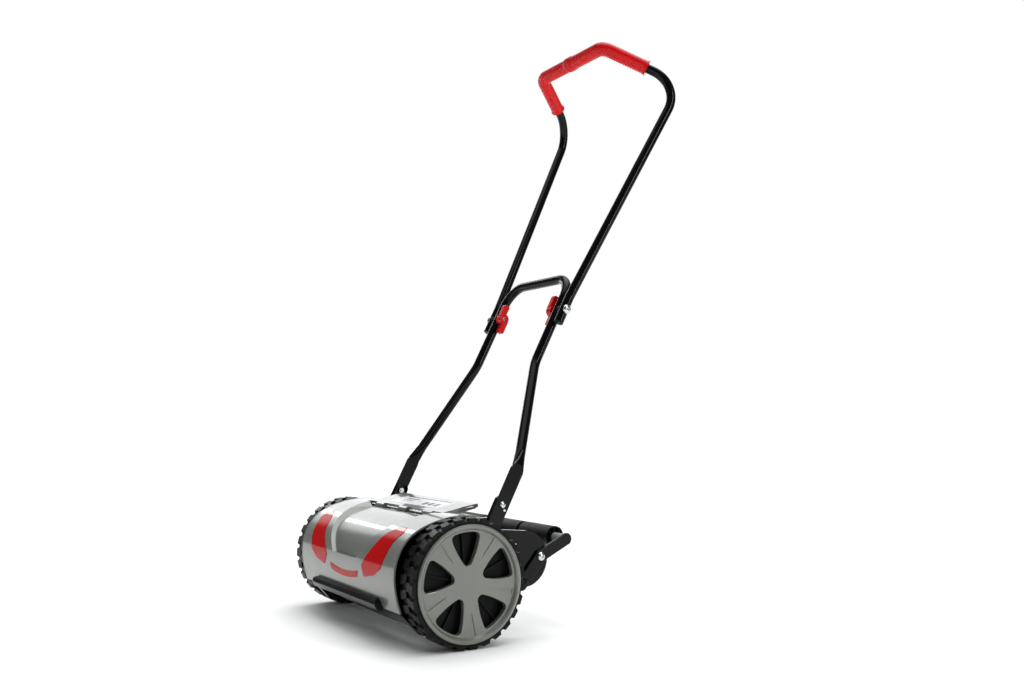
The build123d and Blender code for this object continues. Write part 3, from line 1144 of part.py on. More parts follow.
DRUM_WALL = 2.5
ROLLER_RIBS = 8
NECK_RADIUS = ROLLER_RADIUS - 4.0
CORE_RADIUS = 8.0
centre_length = 0.39 * ROLLER_LENGTH
outer_length = (ROLLER_LENGTH - centre_length) / 2 - ROLLER_GAP
drum_spans = [
    (-ROLLER_HALF, -ROLLER_HALF + outer_length),
    (-centre_length / 2, centre_length / 2),
    (ROLLER_HALF - outer_length, ROLLER_HALF),
]
drums = []
for start, end in drum_spans:
    with BuildPart() as drum:
        with BuildSketch(Plane.YZ.offset(start)):
            with Locations((ROLLER_Y, ROLLER_Z)):
                Circle(ROLLER_RADIUS)
                Circle(ROLLER_RADIUS - DRUM_WALL, mode=Mode.SUBTRACT)
                with PolarLocations((ROLLER_RADIUS + CORE_RADIUS) / 2 - 0.5, ROLLER_RIBS):
                    Rectangle(ROLLER_RADIUS - CORE_RADIUS - 1.5, 1.8)
                Circle(CORE_RADIUS + 2.5)
                Circle(CORE_RADIUS + SEAT_FIT, mode=Mode.SUBTRACT)
        extrude(amount=end - start)
    drums += drum.part.solids()
write(Compound(children=drums), "roller_drums")

with BuildPart() as roller_core:
    with BuildSketch(Plane.YZ.offset(-ROLLER_HALF)):
        with Locations((ROLLER_Y, ROLLER_Z)):
            Circle(CORE_RADIUS)
    extrude(amount=ROLLER_LENGTH)
    for neck_start in (-centre_length / 2 - ROLLER_GAP, centre_length / 2):
        with BuildSketch(Plane.YZ.offset(neck_start)):
            with Locations((ROLLER_Y, ROLLER_Z)):
                Circle(NECK_RADIUS)
        extrude(amount=ROLLER_GAP)
    with Locations((0, ROLLER_Y, ROLLER_Z)):
        Cylinder(ROLLER_AXLE_RADIUS + RUNNING_FIT, 2 * ROLLER_LENGTH, rotation=(0, 90, 0), mode=Mode.SUBTRACT)
write(roller_core.part, "roller_core")
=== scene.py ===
import math

import bmesh
import bpy
from mathutils import Matrix, Vector


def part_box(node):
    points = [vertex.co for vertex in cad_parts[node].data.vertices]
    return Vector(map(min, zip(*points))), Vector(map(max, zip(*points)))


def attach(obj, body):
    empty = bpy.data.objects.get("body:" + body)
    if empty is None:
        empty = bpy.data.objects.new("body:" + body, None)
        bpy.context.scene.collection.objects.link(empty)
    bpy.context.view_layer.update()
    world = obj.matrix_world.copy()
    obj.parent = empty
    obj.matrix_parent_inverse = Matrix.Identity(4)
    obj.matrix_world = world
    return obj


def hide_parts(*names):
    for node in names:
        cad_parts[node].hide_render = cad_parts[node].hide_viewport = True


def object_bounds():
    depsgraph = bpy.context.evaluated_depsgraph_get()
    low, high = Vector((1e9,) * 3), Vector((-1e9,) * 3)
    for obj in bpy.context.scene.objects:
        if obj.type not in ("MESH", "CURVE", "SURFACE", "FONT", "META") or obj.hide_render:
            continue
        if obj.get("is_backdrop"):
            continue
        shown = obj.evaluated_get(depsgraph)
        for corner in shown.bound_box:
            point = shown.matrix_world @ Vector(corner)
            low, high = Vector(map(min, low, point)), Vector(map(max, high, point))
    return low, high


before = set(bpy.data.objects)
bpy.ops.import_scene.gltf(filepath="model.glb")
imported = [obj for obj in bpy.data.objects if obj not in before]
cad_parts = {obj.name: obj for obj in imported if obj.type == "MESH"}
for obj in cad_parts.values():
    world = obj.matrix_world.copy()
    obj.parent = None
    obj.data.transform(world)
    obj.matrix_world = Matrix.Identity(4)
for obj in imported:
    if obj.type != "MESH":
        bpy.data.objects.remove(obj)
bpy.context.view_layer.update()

# ---------------------------------------------------------------------------------------------
# Camera.  A slightly wide lens at knee height, ahead of the mower and to its right, tipped a
# little upwards: the hood is seen from above and the grips from below.
camera_data = bpy.data.cameras.new("camera")
camera_data.sensor_width = 36.0
camera_data.lens = 34.32
camera_data.shift_x = 0.0264
camera_data.shift_y = 0.0083
camera = bpy.data.objects.new("camera", camera_data)
bpy.context.scene.collection.objects.link(camera)
camera_turn, camera_rise = math.radians(58.98), math.radians(3.98)
camera.location = (1.6769, -0.8224, 0.3818)
camera_look = Vector((
    -math.sin(camera_turn) * math.cos(camera_rise),
    math.cos(camera_turn) * math.cos(camera_rise),
    math.sin(camera_rise),
))
camera.rotation_euler = camera_look.to_track_quat("-Z", "Y").to_euler()
bpy.context.scene.camera = camera

# ---------------------------------------------------------------------------------------------
# Studio.  A white seamless floor in a white tent, lit from the tent's roof, with three thin upright
# strips of light that draw the bright lines along the black tubes.
def srgb(code):
    """A hex colour as linear red, green, blue and alpha."""
    channels = [int(code[place:place + 2], 16) / 255 for place in (1, 3, 5)]
    return (*(c / 12.92 if c <= 0.04045 else ((c + 0.055) / 1.055) ** 2.4 for c in channels), 1.0)


def add(tree, kind, inputs=None, **settings):
    """Add one node with its settings; inputs gives sockets a value or another node's output."""
    made = tree.nodes.new(kind)
    for name, value in settings.items():
        setattr(made, name, value)
    for name, value in (inputs or {}).items():
        if isinstance(value, bpy.types.NodeSocket):
            tree.links.new(value, made.inputs[name])
        else:
            made.inputs[name].default_value = value
    return made


def finish_named(name):
    """A new material and its empty node tree."""
    made = bpy.data.materials.new(name)
    made.use_nodes = True
    made.node_tree.nodes.clear()
    return made, made.node_tree


def wear(tree, scale, low, high):
    """Cloudy variation between low and high over a surface, its blobs 1/scale metres across."""
    place = add(tree, "ShaderNodeTexCoord")
    cloud = add(tree, "ShaderNodeTexNoise", {
        "Vector": place.outputs["Object"], "Scale": scale, "Detail": 4.0})
    spread = add(tree, "ShaderNodeMapRange", {
        "Value": cloud.outputs["Fac"], "From Min": 0.3, "From Max": 0.7, "To Min": low, "To Max": high})
    return spread.outputs["Result"]


def close_material(tree, shader):
    """Send a shader to the material's output."""
    add(tree, "ShaderNodeOutputMaterial", {"Surface": shader.outputs["BSDF"]})


paper, tree = finish_named("studio_paper")
close_material(tree, add(tree, "ShaderNodeBsdfPrincipled", {
    "Base Color": srgb("#fbfbfa"), "Roughness": wear(tree, 3.0, 0.86, 0.94), "Specular IOR Level": 0.1}))
bpy.ops.mesh.primitive_plane_add(size=24.0, location=(0, 0, 0))
floor = bpy.context.object
floor.name = "studio_floor"
floor.data.materials.append(paper)
floor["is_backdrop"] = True

# The tent's roof and its far wall are the light; the near walls stay dim.  Black pieces stay black,
# and the clear coat on the hood's top mirrors the far wall and shines white above a grey front.
world = bpy.data.worlds.new("white_tent")
world.use_nodes = True
tree = world.node_tree
tree.nodes.clear()
seen = add(tree, "ShaderNodeLightPath")
direction = add(tree, "ShaderNodeTexCoord").outputs["Generated"]
toward = add(tree, "ShaderNodeSeparateXYZ", {"Vector": direction})
roof_foot, roof_full = math.sin(math.radians(52.0)), math.sin(math.radians(58.0))
tent_glow, near_wall_glow = 1.7, 0.14
roof = add(tree, "ShaderNodeMapRange", {
    "Value": toward.outputs["Z"], "From Min": roof_foot, "From Max": roof_full, "To Min": 0.0,
    "To Max": tent_glow}, interpolation_type="SMOOTHSTEP")
far_side = add(tree, "ShaderNodeVectorMath", {
    0: direction, 1: (-math.sin(camera_turn), math.cos(camera_turn), 0.0)}, operation="DOT_PRODUCT")
far_wall = add(tree, "ShaderNodeMapRange", {
    "Value": far_side.outputs["Value"], "From Min": 0.66, "From Max": 0.74, "To Min": near_wall_glow,
    "To Max": tent_glow}, interpolation_type="SMOOTHSTEP")
glow = add(tree, "ShaderNodeMath", {
    0: roof.outputs["Result"], 1: far_wall.outputs["Result"]}, operation="ADD")
tent = add(tree, "ShaderNodeBackground", {"Color": srgb("#f4f6f8"), "Strength": glow.outputs["Value"]})
backdrop = add(tree, "ShaderNodeBackground", {"Color": srgb("#ffffff"), "Strength": 1.0})
both = add(tree, "ShaderNodeMixShader", {
    0: seen.outputs["Is Camera Ray"], 1: tent.outputs["Background"], 2: backdrop.outputs["Background"]})
add(tree, "ShaderNodeOutputWorld", {"Surface": both.outputs["Shader"]})
bpy.context.scene.world = world
bpy.context.scene.view_settings.view_transform = "Standard"

sky_light = bpy.data.lights.new("ceiling", "SUN")
sky_light.energy = 1.0
sky_light.angle = math.radians(50.0)
ceiling = bpy.data.objects.new("ceiling", sky_light)
bpy.context.scene.collection.objects.link(ceiling)
ceiling.rotation_euler = Vector((0.12, -0.28, -1.0)).to_track_quat("-Z", "Y").to_euler()

for name, place, aim, size, tall, power in (
    ("front_strip", (-0.5, -2.6, 1.5), (0.0, 0.0, 0.5), 0.22, 2.0, 3.0),
    ("side_strip", (2.5, 1.1, 1.5), (0.1, 0.2, 0.6), 0.22, 2.0, 24.0),
    ("left_strip", (-2.4, 0.2, 1.5), (0.0, 0.2, 0.6), 0.22, 2.0, 8.0),
):
    lamp = bpy.data.lights.new(name, "AREA")
    lamp.shape = "RECTANGLE"
    lamp.size = size
    lamp.size_y = tall
    lamp.energy = power
    panel = bpy.data.objects.new(name, lamp)
    bpy.context.scene.collection.objects.link(panel)
    panel.location = place
    panel.rotation_euler = (Vector(aim) - Vector(place)).to_track_quat("-Z", "Y").to_euler()


def dress(material, *nodes):
    """Give CAD nodes a finish."""
    for name in nodes:
        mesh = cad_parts[name].data
        mesh.materials.clear()
        mesh.materials.append(material)


SIDES = (("right", 1), ("left", -1))

# ---------------------------------------------------------------------------------------------
# Hood, wheel covers and rear flap.  Injection-moulded ABS sprayed with a satin aluminium-flake paint
# and a thin clear coat: the flakes sparkle faintly and the colour is a warm mid grey.
silver, tree = finish_named("aluminium_flake_paint_on_abs")
place = add(tree, "ShaderNodeTexCoord")
# Flakes are 0.1 mm across; drawn at 0.9 mm so that they show.
flakes = add(tree, "ShaderNodeTexVoronoi", {"Vector": place.outputs["Object"], "Scale": 1100.0})
flake_light = add(tree, "ShaderNodeMapRange", {
    "Value": flakes.outputs["Color"], "To Min": 0.97, "To Max": 1.04})
tone = add(tree, "ShaderNodeMix", {
    "Factor": wear(tree, 9.0, 0.0, 1.0), "A": srgb("#6d7069"), "B": srgb("#73766f")}, data_type="RGBA")
lit = add(tree, "ShaderNodeVectorMath", {0: tone.outputs["Result"], 1: flake_light.outputs["Result"]},
          operation="MULTIPLY")
# Orange peel of the clear coat, about 2 mm from crest to crest.
peel = add(tree, "ShaderNodeTexNoise", {"Vector": place.outputs["Object"], "Scale": 480.0, "Detail": 1.0})
skin = add(tree, "ShaderNodeBump", {"Height": peel.outputs["Fac"], "Strength": 0.02, "Distance": 0.0002})
close_material(tree, add(tree, "ShaderNodeBsdfPrincipled", {
    "Base Color": lit.outputs["Vector"], "Metallic": 0.3, "Roughness": wear(tree, 35.0, 0.34, 0.4),
    "Normal": skin.outputs["Normal"], "Coat Weight": 0.85, "Coat Roughness": 0.05}))
dress(silver, "hood", "rear_flap", "wheel_cover_left", "wheel_cover_right")

# ---------------------------------------------------------------------------------------------
# Red inserts.  Polished acrylic-capped ABS pressed into pockets of the hood, deep red with a hard
# gloss; the colour lies in the plastic and drifts a little from one end to the other.
signal_red, tree = finish_named("polished_red_abs")
depth = add(tree, "ShaderNodeMix", {
    "Factor": wear(tree, 14.0, 0.0, 1.0), "A": srgb("#b40302"), "B": srgb("#c20503")}, data_type="RGBA")
close_material(tree, add(tree, "ShaderNodeBsdfPrincipled", {
    "Base Color": depth.outputs["Result"], "Roughness": wear(tree, 60.0, 0.05, 0.08), "IOR": 1.49,
    "Specular IOR Level": 0.12}))
dress(signal_red, "hood_insert_left", "hood_insert_right", "hood_insert_centre")

# ---------------------------------------------------------------------------------------------
# Bumper.  A straight moulded strip clipped along the hood's foot.  It is black ABS from a polished
# mould, so it has a hard gloss that the hood's satin paint doesn't have.
piano_black, tree = finish_named("gloss_black_abs")
close_material(tree, add(tree, "ShaderNodeBsdfPrincipled", {
    "Base Color": srgb("#090a0d"), "Roughness": wear(tree, 40.0, 0.1, 0.16), "IOR": 1.5,
    "Specular IOR Level": 0.3}))
dress(piano_black, "front_bumper")

# ---------------------------------------------------------------------------------------------
# Wheel drums, ring gears, pinions and roller.  Black polypropylene and filled nylon straight from
# the mould, with the fine spark-eroded grain of the tool.
moulded_black, tree = finish_named("grained_black_polypropylene")
place = add(tree, "ShaderNodeTexCoord")
# Spark-eroded grain is 0.2 mm; drawn at 0.7 mm so that it shows.
grain = add(tree, "ShaderNodeTexNoise", {"Vector": place.outputs["Object"], "Scale": 1400.0, "Detail": 2.0})
grain_skin = add(tree, "ShaderNodeBump", {
    "Height": grain.outputs["Fac"], "Strength": 0.12, "Distance": 0.0004})
tone = add(tree, "ShaderNodeMix", {
    "Factor": wear(tree, 25.0, 0.0, 1.0), "A": srgb("#0a0a0a"), "B": srgb("#111212")}, data_type="RGBA")
close_material(tree, add(tree, "ShaderNodeBsdfPrincipled", {
    "Base Color": tone.outputs["Result"], "Roughness": wear(tree, 50.0, 0.42, 0.55), "IOR": 1.49,
    "Specular IOR Level": 0.14, "Normal": grain_skin.outputs["Normal"]}))
dress(moulded_black, "wheel_left", "wheel_right", "ring_gear_left", "ring_gear_right", "pinion_left",
      "pinion_right", "roller_drums", "roller_core", "tube_plugs", "saddle_washers")

# ---------------------------------------------------------------------------------------------
# Tubes, side plates, roller arms, bed bar and reel spiders.  Mild steel, powder-coated gloss black:
# a thick, slightly rippled skin that draws out every lamp into a soft bright line.
powder_black, tree = finish_named("gloss_black_powder_coat_on_steel")
place = add(tree, "ShaderNodeTexCoord")
# Powder coat's orange peel is 2 to 3 mm from crest to crest.
ripple = add(tree, "ShaderNodeTexNoise", {"Vector": place.outputs["Object"], "Scale": 380.0, "Detail": 1.5})
ripple_skin = add(tree, "ShaderNodeBump", {
    "Height": ripple.outputs["Fac"], "Strength": 0.04, "Distance": 0.0003})
close_material(tree, add(tree, "ShaderNodeBsdfPrincipled", {
    "Base Color": srgb("#050506"), "Roughness": wear(tree, 30.0, 0.12, 0.18), "IOR": 1.52,
    "Specular IOR Level": 0.18, "Normal": ripple_skin.outputs["Normal"]}))
dress(powder_black, "lower_handle", "upper_handle", "side_plate_left", "side_plate_right", "roller_arm_left",
      "roller_arm_right", "bed_bar", "reel_spiders")

# ---------------------------------------------------------------------------------------------
# Grips and wing knobs.  Soft red PVC sleeves and moulded polypropylene knobs in the same red, satin
# with a fine mould grain.  The sleeves' own shape is made further on.
soft_red, tree = finish_named("satin_red_soft_pvc")
place = add(tree, "ShaderNodeTexCoord")
# The mould's grain is 0.2 mm; drawn at 0.8 mm, and shallow, so that it only softens the highlights.
grain = add(tree, "ShaderNodeTexNoise", {"Vector": place.outputs["Object"], "Scale": 1200.0, "Detail": 2.0})
grain_skin = add(tree, "ShaderNodeBump", {
    "Height": grain.outputs["Fac"], "Strength": 0.01, "Distance": 0.0001})
tone = add(tree, "ShaderNodeMix", {
    "Factor": wear(tree, 30.0, 0.0, 1.0), "A": srgb("#c4040a"), "B": srgb("#d0070d")}, data_type="RGBA")
close_material(tree, add(tree, "ShaderNodeBsdfPrincipled", {
    "Base Color": tone.outputs["Result"], "Roughness": wear(tree, 60.0, 0.26, 0.34), "IOR": 1.53,
    "Specular IOR Level": 0.24, "Normal": grain_skin.outputs["Normal"]}))
dress(soft_red, "wing_knob_left", "wing_knob_right")

# ---------------------------------------------------------------------------------------------
# Screws, bolts, nuts, rods and clips.  Steel, cold-headed or turned, then zinc plated and bright,
# with a slightly cloudy skin.
zinc, tree = finish_named("bright_zinc_plated_steel")
close_material(tree, add(tree, "ShaderNodeBsdfPrincipled", {
    "Base Color": srgb("#cfd2d4"), "Metallic": 1.0, "Roughness": wear(tree, 220.0, 0.14, 0.3)}))
dress(zinc, "leg_locating_pips", "leg_nuts", "arm_lock_nuts", "arm_pivot_nuts", "tie_rods",
      "tie_rod_nuts", "flap_rod", "hood_screws", "bed_knife_screws", "bed_bar_bolts", "axle_bolts",
      "axle_washers", "axle_clips", "pinion_clips", "roller_axle", "reel_shaft", "drive_pawls")

# ---------------------------------------------------------------------------------------------
# Reel blades and bed knife.  Rolled carbon steel strip, ground and oiled, which is duller and
# cloudier than the plated screws.
blade_steel, tree = finish_named("ground_carbon_steel")
close_material(tree, add(tree, "ShaderNodeBsdfPrincipled", {
    "Base Color": srgb("#8d8f90"), "Metallic": 1.0, "Roughness": wear(tree, 300.0, 0.24, 0.42)}))
dress(blade_steel, "reel_blades", "bed_knife")

# ---------------------------------------------------------------------------------------------
# Reel bearings.  Plain bushes pressed from bronze powder and soaked in oil, which leaves them matt
# and yellow-brown.
bush_bronze, tree = finish_named("sintered_bronze")
close_material(tree, add(tree, "ShaderNodeBsdfPrincipled", {
    "Base Color": srgb("#b08a4a"), "Metallic": 1.0, "Roughness": wear(tree, 400.0, 0.4, 0.55)}))
dress(bush_bronze, "reel_bearings")

# ---------------------------------------------------------------------------------------------
# Roller spacers.  Short lengths of light grey polyethylene tube between the drums and the arms,
# with the waxy half gloss of a drawn tube.
grey_tube, tree = finish_named("light_grey_polyethylene")
close_material(tree, add(tree, "ShaderNodeBsdfPrincipled", {
    "Base Color": srgb("#8f9496"), "Roughness": wear(tree, 80.0, 0.4, 0.52)}))
dress(grey_tube, "roller_spacers")

# ---------------------------------------------------------------------------------------------
# Label.  A polyester film stuck on the flap, pale, with a border printed in dark ink.  Along the rear
# the dark border is widened to 4.5 mm; that wide band is a painted dark reflection on the glossy flap,
# not ink.  In place of words it has four plain rules, and three plain blocks stand where its pictures
# would be.
label_film, tree = finish_named("printed_polyester_film")
label_low, label_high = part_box("flap_label")
label_middle = (label_low + label_high) / 2
place = add(tree, "ShaderNodeSeparateXYZ", {"Vector": add(tree, "ShaderNodeTexCoord").outputs["Object"]})
print_and_painted_reflection = 0.0
for left, right, front, rear in (
    # each bar's two ends across the mower, then its front and rear, in mm from the label's middle
    # the first bar, 4.5 mm deep along the rear, is a painted dark reflection; the other bars are print
    (-89.0, 89.0, 16.0, 20.5), (-89.0, -88.0, -20.5, 20.5),
    (88.0, 89.0, -20.5, 20.5), (-89.0, 89.0, -20.5, -19.5),
    (-70.0, -18.0, 6.0, 9.0), (-70.0, -30.0, 0.0, 1.6),
    (-70.0, -24.0, -5.0, -3.4), (-70.0, -38.0, -10.0, -8.4),
    (20.0, 34.0, -12.0, 2.0), (42.0, 56.0, -12.0, 2.0), (64.0, 78.0, -12.0, 2.0),
):
    inside = 1.0
    for axis, near, far, middle in (("X", left, right, label_middle.x), ("Y", front, rear, label_middle.y)):
        centre, half = middle + (near + far) / 2000, (far - near) / 2000
        away = add(tree, "ShaderNodeMath", {0: place.outputs[axis], 1: centre, 2: half}, operation="COMPARE")
        within = add(tree, "ShaderNodeMath", {0: away.outputs["Value"], 1: inside}, operation="MULTIPLY")
        inside = within.outputs["Value"]
    darker = add(tree, "ShaderNodeMath", {0: inside, 1: print_and_painted_reflection}, operation="MAXIMUM")
    print_and_painted_reflection = darker.outputs["Value"]
# Dark where the label is printed, and in the painted dark reflection along its rear.
ink_and_painted_reflection = add(tree, "ShaderNodeMix", {
    "Factor": print_and_painted_reflection, "A": srgb("#e2e4e6"), "B": srgb("#2c2f33")}, data_type="RGBA")
close_material(tree, add(tree, "ShaderNodeBsdfPrincipled", {
    "Base Color": ink_and_painted_reflection.outputs["Result"], "Roughness": wear(tree, 90.0, 0.22, 0.32)}))
dress(label_film, "flap_label")

# ---------------------------------------------------------------------------------------------
# Tyres.  Solid black rubber rings stretched on the drums.  Two staggered rows of wavy, tapered lugs
# stand on a smooth carcass; one fine groove runs round the outer sidewall where the mould closed.
rubber, tree = finish_named("moulded_black_rubber")
place = add(tree, "ShaderNodeTexCoord")
# Rubber's bloom is matt and uneven over 20 mm, with 1 mm pits from the mould.
pits = add(tree, "ShaderNodeTexNoise", {"Vector": place.outputs["Object"], "Scale": 1000.0, "Detail": 2.0})
pitted = add(tree, "ShaderNodeBump", {"Height": pits.outputs["Fac"], "Strength": 0.2, "Distance": 0.0005})
tone = add(tree, "ShaderNodeMix", {
    "Factor": wear(tree, 50.0, 0.0, 1.0), "A": srgb("#080808"), "B": srgb("#0e0e0d")}, data_type="RGBA")
close_material(tree, add(tree, "ShaderNodeBsdfPrincipled", {
    "Base Color": tone.outputs["Result"], "Roughness": wear(tree, 70.0, 0.36, 0.5), "IOR": 1.52,
    "Specular IOR Level": 0.16, "Normal": pitted.outputs["Normal"]}))


def sized_tree(name, sizes, kinds=None):
    """A Geometry Nodes tree with a geometry in and out and one named input for each size."""
    tree = bpy.data.node_groups.new(name, "GeometryNodeTree")
    tree.interface.new_socket("Geometry", in_out="INPUT", socket_type="NodeSocketGeometry")
    for size in sizes:
        kind = (kinds or {}).get(size, "NodeSocketFloat")
        tree.interface.new_socket(size, in_out="INPUT", socket_type=kind)
    tree.interface.new_socket("Geometry", in_out="OUTPUT", socket_type="NodeSocketGeometry")
    return tree, add(tree, "NodeGroupInput").outputs


def end_tree(tree, shape, material):
    """Close a tree: its instances made real and given their material."""
    real = add(tree, "GeometryNodeRealizeInstances", {"Geometry": shape})
    coated = add(tree, "GeometryNodeSetMaterial", {
        "Geometry": real.outputs["Geometry"], "Material": material})
    add(tree, "NodeGroupOutput", {"Geometry": coated.outputs["Geometry"]})


def grown(name, start, tree, values):
    """Run a tree on a starting mesh or curve and keep the result as a plain mesh object."""
    seed = bpy.data.objects.new(name + "_start", start)
    bpy.context.scene.collection.objects.link(seed)
    nodes = seed.modifiers.new("nodes", "NODES")
    nodes.node_group = tree
    for item in tree.interface.items_tree:
        if item.item_type == "SOCKET" and item.in_out == "INPUT" and item.name in values:
            nodes[item.identifier] = values[item.name]
    seen_by = bpy.context.evaluated_depsgraph_get()
    mesh = bpy.data.meshes.new_from_object(seed.evaluated_get(seen_by), depsgraph=seen_by)
    bpy.data.objects.remove(seed)
    made = bpy.data.objects.new(name, mesh)
    bpy.context.scene.collection.objects.link(made)
    return made


def math_of(tree, operation, *terms):
    """One sum, product or function of plain numbers and sockets."""
    return add(tree, "ShaderNodeMath", dict(enumerate(terms)), operation=operation).outputs["Value"]


def turned(profile, steps, centre_y, centre_z):
    """A closed ring turned about a line along X; profile holds (x, radius) round its section."""
    build = bmesh.new()
    rings = []
    for step in range(steps):
        angle = 2 * math.pi * step / steps
        rings.append([build.verts.new((x, centre_y + r * math.cos(angle), centre_z + r * math.sin(angle)))
                      for x, r in profile])
    for step, ring in enumerate(rings):
        following = rings[(step + 1) % steps]
        for number, corner in enumerate(ring):
            after = (number + 1) % len(ring)
            build.faces.new((corner, ring[after], following[after], following[number]))
    bmesh.ops.recalc_face_normals(build, faces=build.faces)
    mesh = bpy.data.meshes.new("turned")
    build.to_mesh(mesh)
    build.free()
    return mesh


def soften(piece, degrees=35.0):
    """Smooth shading that keeps real edges crisp."""
    piece.data.polygons.foreach_set("use_smooth", [True] * len(piece.data.polygons))
    piece.data.set_sharp_from_angle(angle=math.radians(degrees))


tread, size = sized_tree("tread_lugs", (
    "Lugs", "Row X", "Row Turn", "Wave", "Axle Y", "Axle Z", "Tread Radius", "Lug Length", "Lug Width",
    "Lug Height"), {"Lugs": "NodeSocketInt"})
block = add(tread, "GeometryNodeMeshCube", {"Vertices X": 7, "Vertices Y": 3, "Vertices Z": 2})
block_size = add(tread, "ShaderNodeCombineXYZ", {
    "X": size["Lug Width"], "Y": size["Lug Length"], "Z": size["Lug Height"]})
tread.links.new(block_size.outputs["Vector"], block.inputs["Size"])
here = add(tread, "ShaderNodeSeparateXYZ", {
    "Vector": add(tread, "GeometryNodeInputPosition").outputs["Position"]})
# A lug narrows from root to crown and bends sideways in one long wave.
rise = math_of(tread, "DIVIDE", here.outputs["Z"], size["Lug Height"])
draw_in = math_of(tread, "MULTIPLY_ADD", rise, -0.3, 0.85)
across = math_of(tread, "DIVIDE", here.outputs["X"], size["Lug Width"])
bend = math_of(tread, "SINE", math_of(tread, "MULTIPLY", across, 5.6))
curl = math_of(tread, "MULTIPLY", bend, size["Wave"])
moved_y = math_of(tread, "ADD", math_of(tread, "MULTIPLY", here.outputs["Y"], draw_in), curl)
wavy = add(tread, "ShaderNodeCombineXYZ", {"X": here.outputs["X"], "Y": moved_y, "Z": here.outputs["Z"]})
lug = add(tread, "GeometryNodeSetPosition", {
    "Geometry": block.outputs["Mesh"], "Position": wavy.outputs["Vector"]})
# The lugs stand in a ring round the axle, each leaning with its own radius.
number = add(tread, "GeometryNodeInputIndex").outputs["Index"]
share = math_of(tread, "DIVIDE", math_of(tread, "ADD", number, size["Row Turn"]), size["Lugs"])
angle = math_of(tread, "MULTIPLY", share, 2 * math.pi)
seat = math_of(tread, "SUBTRACT", size["Tread Radius"], math_of(tread, "DIVIDE", size["Lug Height"], 2.0))
seat_y = math_of(tread, "MULTIPLY_ADD", math_of(tread, "COSINE", angle), seat, size["Axle Y"])
seat_z = math_of(tread, "MULTIPLY_ADD", math_of(tread, "SINE", angle), seat, size["Axle Z"])
spot = add(tread, "ShaderNodeCombineXYZ", {"X": size["Row X"], "Y": seat_y, "Z": seat_z})
row = add(tread, "GeometryNodePoints", {"Count": size["Lugs"], "Position": spot.outputs["Vector"]})
lean = add(tread, "ShaderNodeCombineXYZ", {"X": math_of(tread, "SUBTRACT", angle, math.pi / 2)})
lugs = add(tread, "GeometryNodeInstanceOnPoints", {
    "Points": row.outputs["Geometry"], "Instance": lug.outputs["Geometry"],
    "Rotation": lean.outputs["Vector"]})
with_carcass = add(tread, "GeometryNodeJoinGeometry")
tread.links.new(lugs.outputs["Instances"], with_carcass.inputs["Geometry"])
tread.links.new(size["Geometry"], with_carcass.inputs["Geometry"])
end_tree(tread, with_carcass.outputs["Geometry"], rubber)

carcass_steps = 216
lug_sink = 0.0006               # a lug is flat on top, so its middle stays below the tyre's full radius
inner_row, outer_row, lug_wave = 0.0106, 0.0334, 0.0022
for side, sign in SIDES:
    low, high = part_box("tyre_" + side)
    axle_y, axle_z = (low.y + high.y) / 2, (low.z + high.z) / 2
    inner_x = low.x if sign > 0 else high.x
    # The carcass's section, as the distance from its inner face and the radius, in mm.
    carcass = [(inner_x + sign * x / 1000, r / 1000) for x, r in (
        (0.6, 96.0), (0.0, 96.8), (0.0, 101.5), (2.2, 103.8), (41.8, 103.8), (44.0, 101.6), (44.0, 100.9),
        (43.2, 100.5), (43.2, 99.9), (44.0, 99.5), (44.0, 96.8), (43.4, 96.0))]
    lug_sizes = {
        "Lugs": 27, "Axle Y": axle_y, "Axle Z": axle_z, "Tread Radius": (high.z - low.z) / 2 - lug_sink,
        "Lug Length": 0.0196, "Lug Width": 0.0212, "Lug Height": 0.0058}
    half_tyre = grown("tyre_tread_" + side, turned(carcass, carcass_steps, axle_y, axle_z), tread, {
        **lug_sizes, "Row X": inner_x + sign * inner_row, "Row Turn": 0.0, "Wave": lug_wave * sign})
    tyre = grown("tyre_" + side + "_rubber", half_tyre.data, tread, {
        **lug_sizes, "Row X": inner_x + sign * outer_row, "Row Turn": 0.5, "Wave": -lug_wave * sign})
    bpy.data.objects.remove(half_tyre)
    soften(tyre)
    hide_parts("tyre_" + side)
    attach(tyre, "wheel_" + side)

# ---------------------------------------------------------------------------------------------
# Grips.  Soft PVC mouldings pushed on from each end of the handle, meeting in the middle at a
# collar.  The palm side is smooth; the finger side has fine cross ribs; the outer end flares.
grip_sleeve, size = sized_tree("ribbed_sleeve", (
    "Sleeve Radius", "Rib Pitch", "Rib Depth", "Collar Length", "Collar Rise", "Flare Length", "Flare Rise"))
# The path is cut into steps of 1.1 mm, short enough to carry a rib's wave.
run = add(grip_sleeve, "GeometryNodeResampleCurve", {
    "Curve": size["Geometry"], "Length": 0.0011}, mode="LENGTH")
along = add(grip_sleeve, "GeometryNodeSplineParameter")
far = add(grip_sleeve, "GeometryNodeSplineLength")
to_end = math_of(grip_sleeve, "SUBTRACT", far.outputs["Length"], along.outputs["Length"])
collar_round = 0.0008           # the collar's edge is rounded over this distance to each side
collar = add(grip_sleeve, "ShaderNodeMapRange", {
    "Value": math_of(grip_sleeve, "SUBTRACT", along.outputs["Length"], size["Collar Length"]),
    "From Min": -collar_round, "From Max": collar_round, "To Min": 1.0, "To Max": 0.0},
    interpolation_type="SMOOTHSTEP")
flare = add(grip_sleeve, "ShaderNodeMapRange", {
    "Value": to_end, "From Min": 0.0, "From Max": size["Flare Length"], "To Min": 1.0, "To Max": 0.0},
    interpolation_type="SMOOTHERSTEP")
collar_swell = math_of(grip_sleeve, "MULTIPLY", collar.outputs["Result"], size["Collar Rise"])
flare_swell = math_of(grip_sleeve, "MULTIPLY", flare.outputs["Result"], size["Flare Rise"])
swell = math_of(grip_sleeve, "ADD", collar_swell, flare_swell)
girth = math_of(grip_sleeve, "ADD", size["Sleeve Radius"], swell)
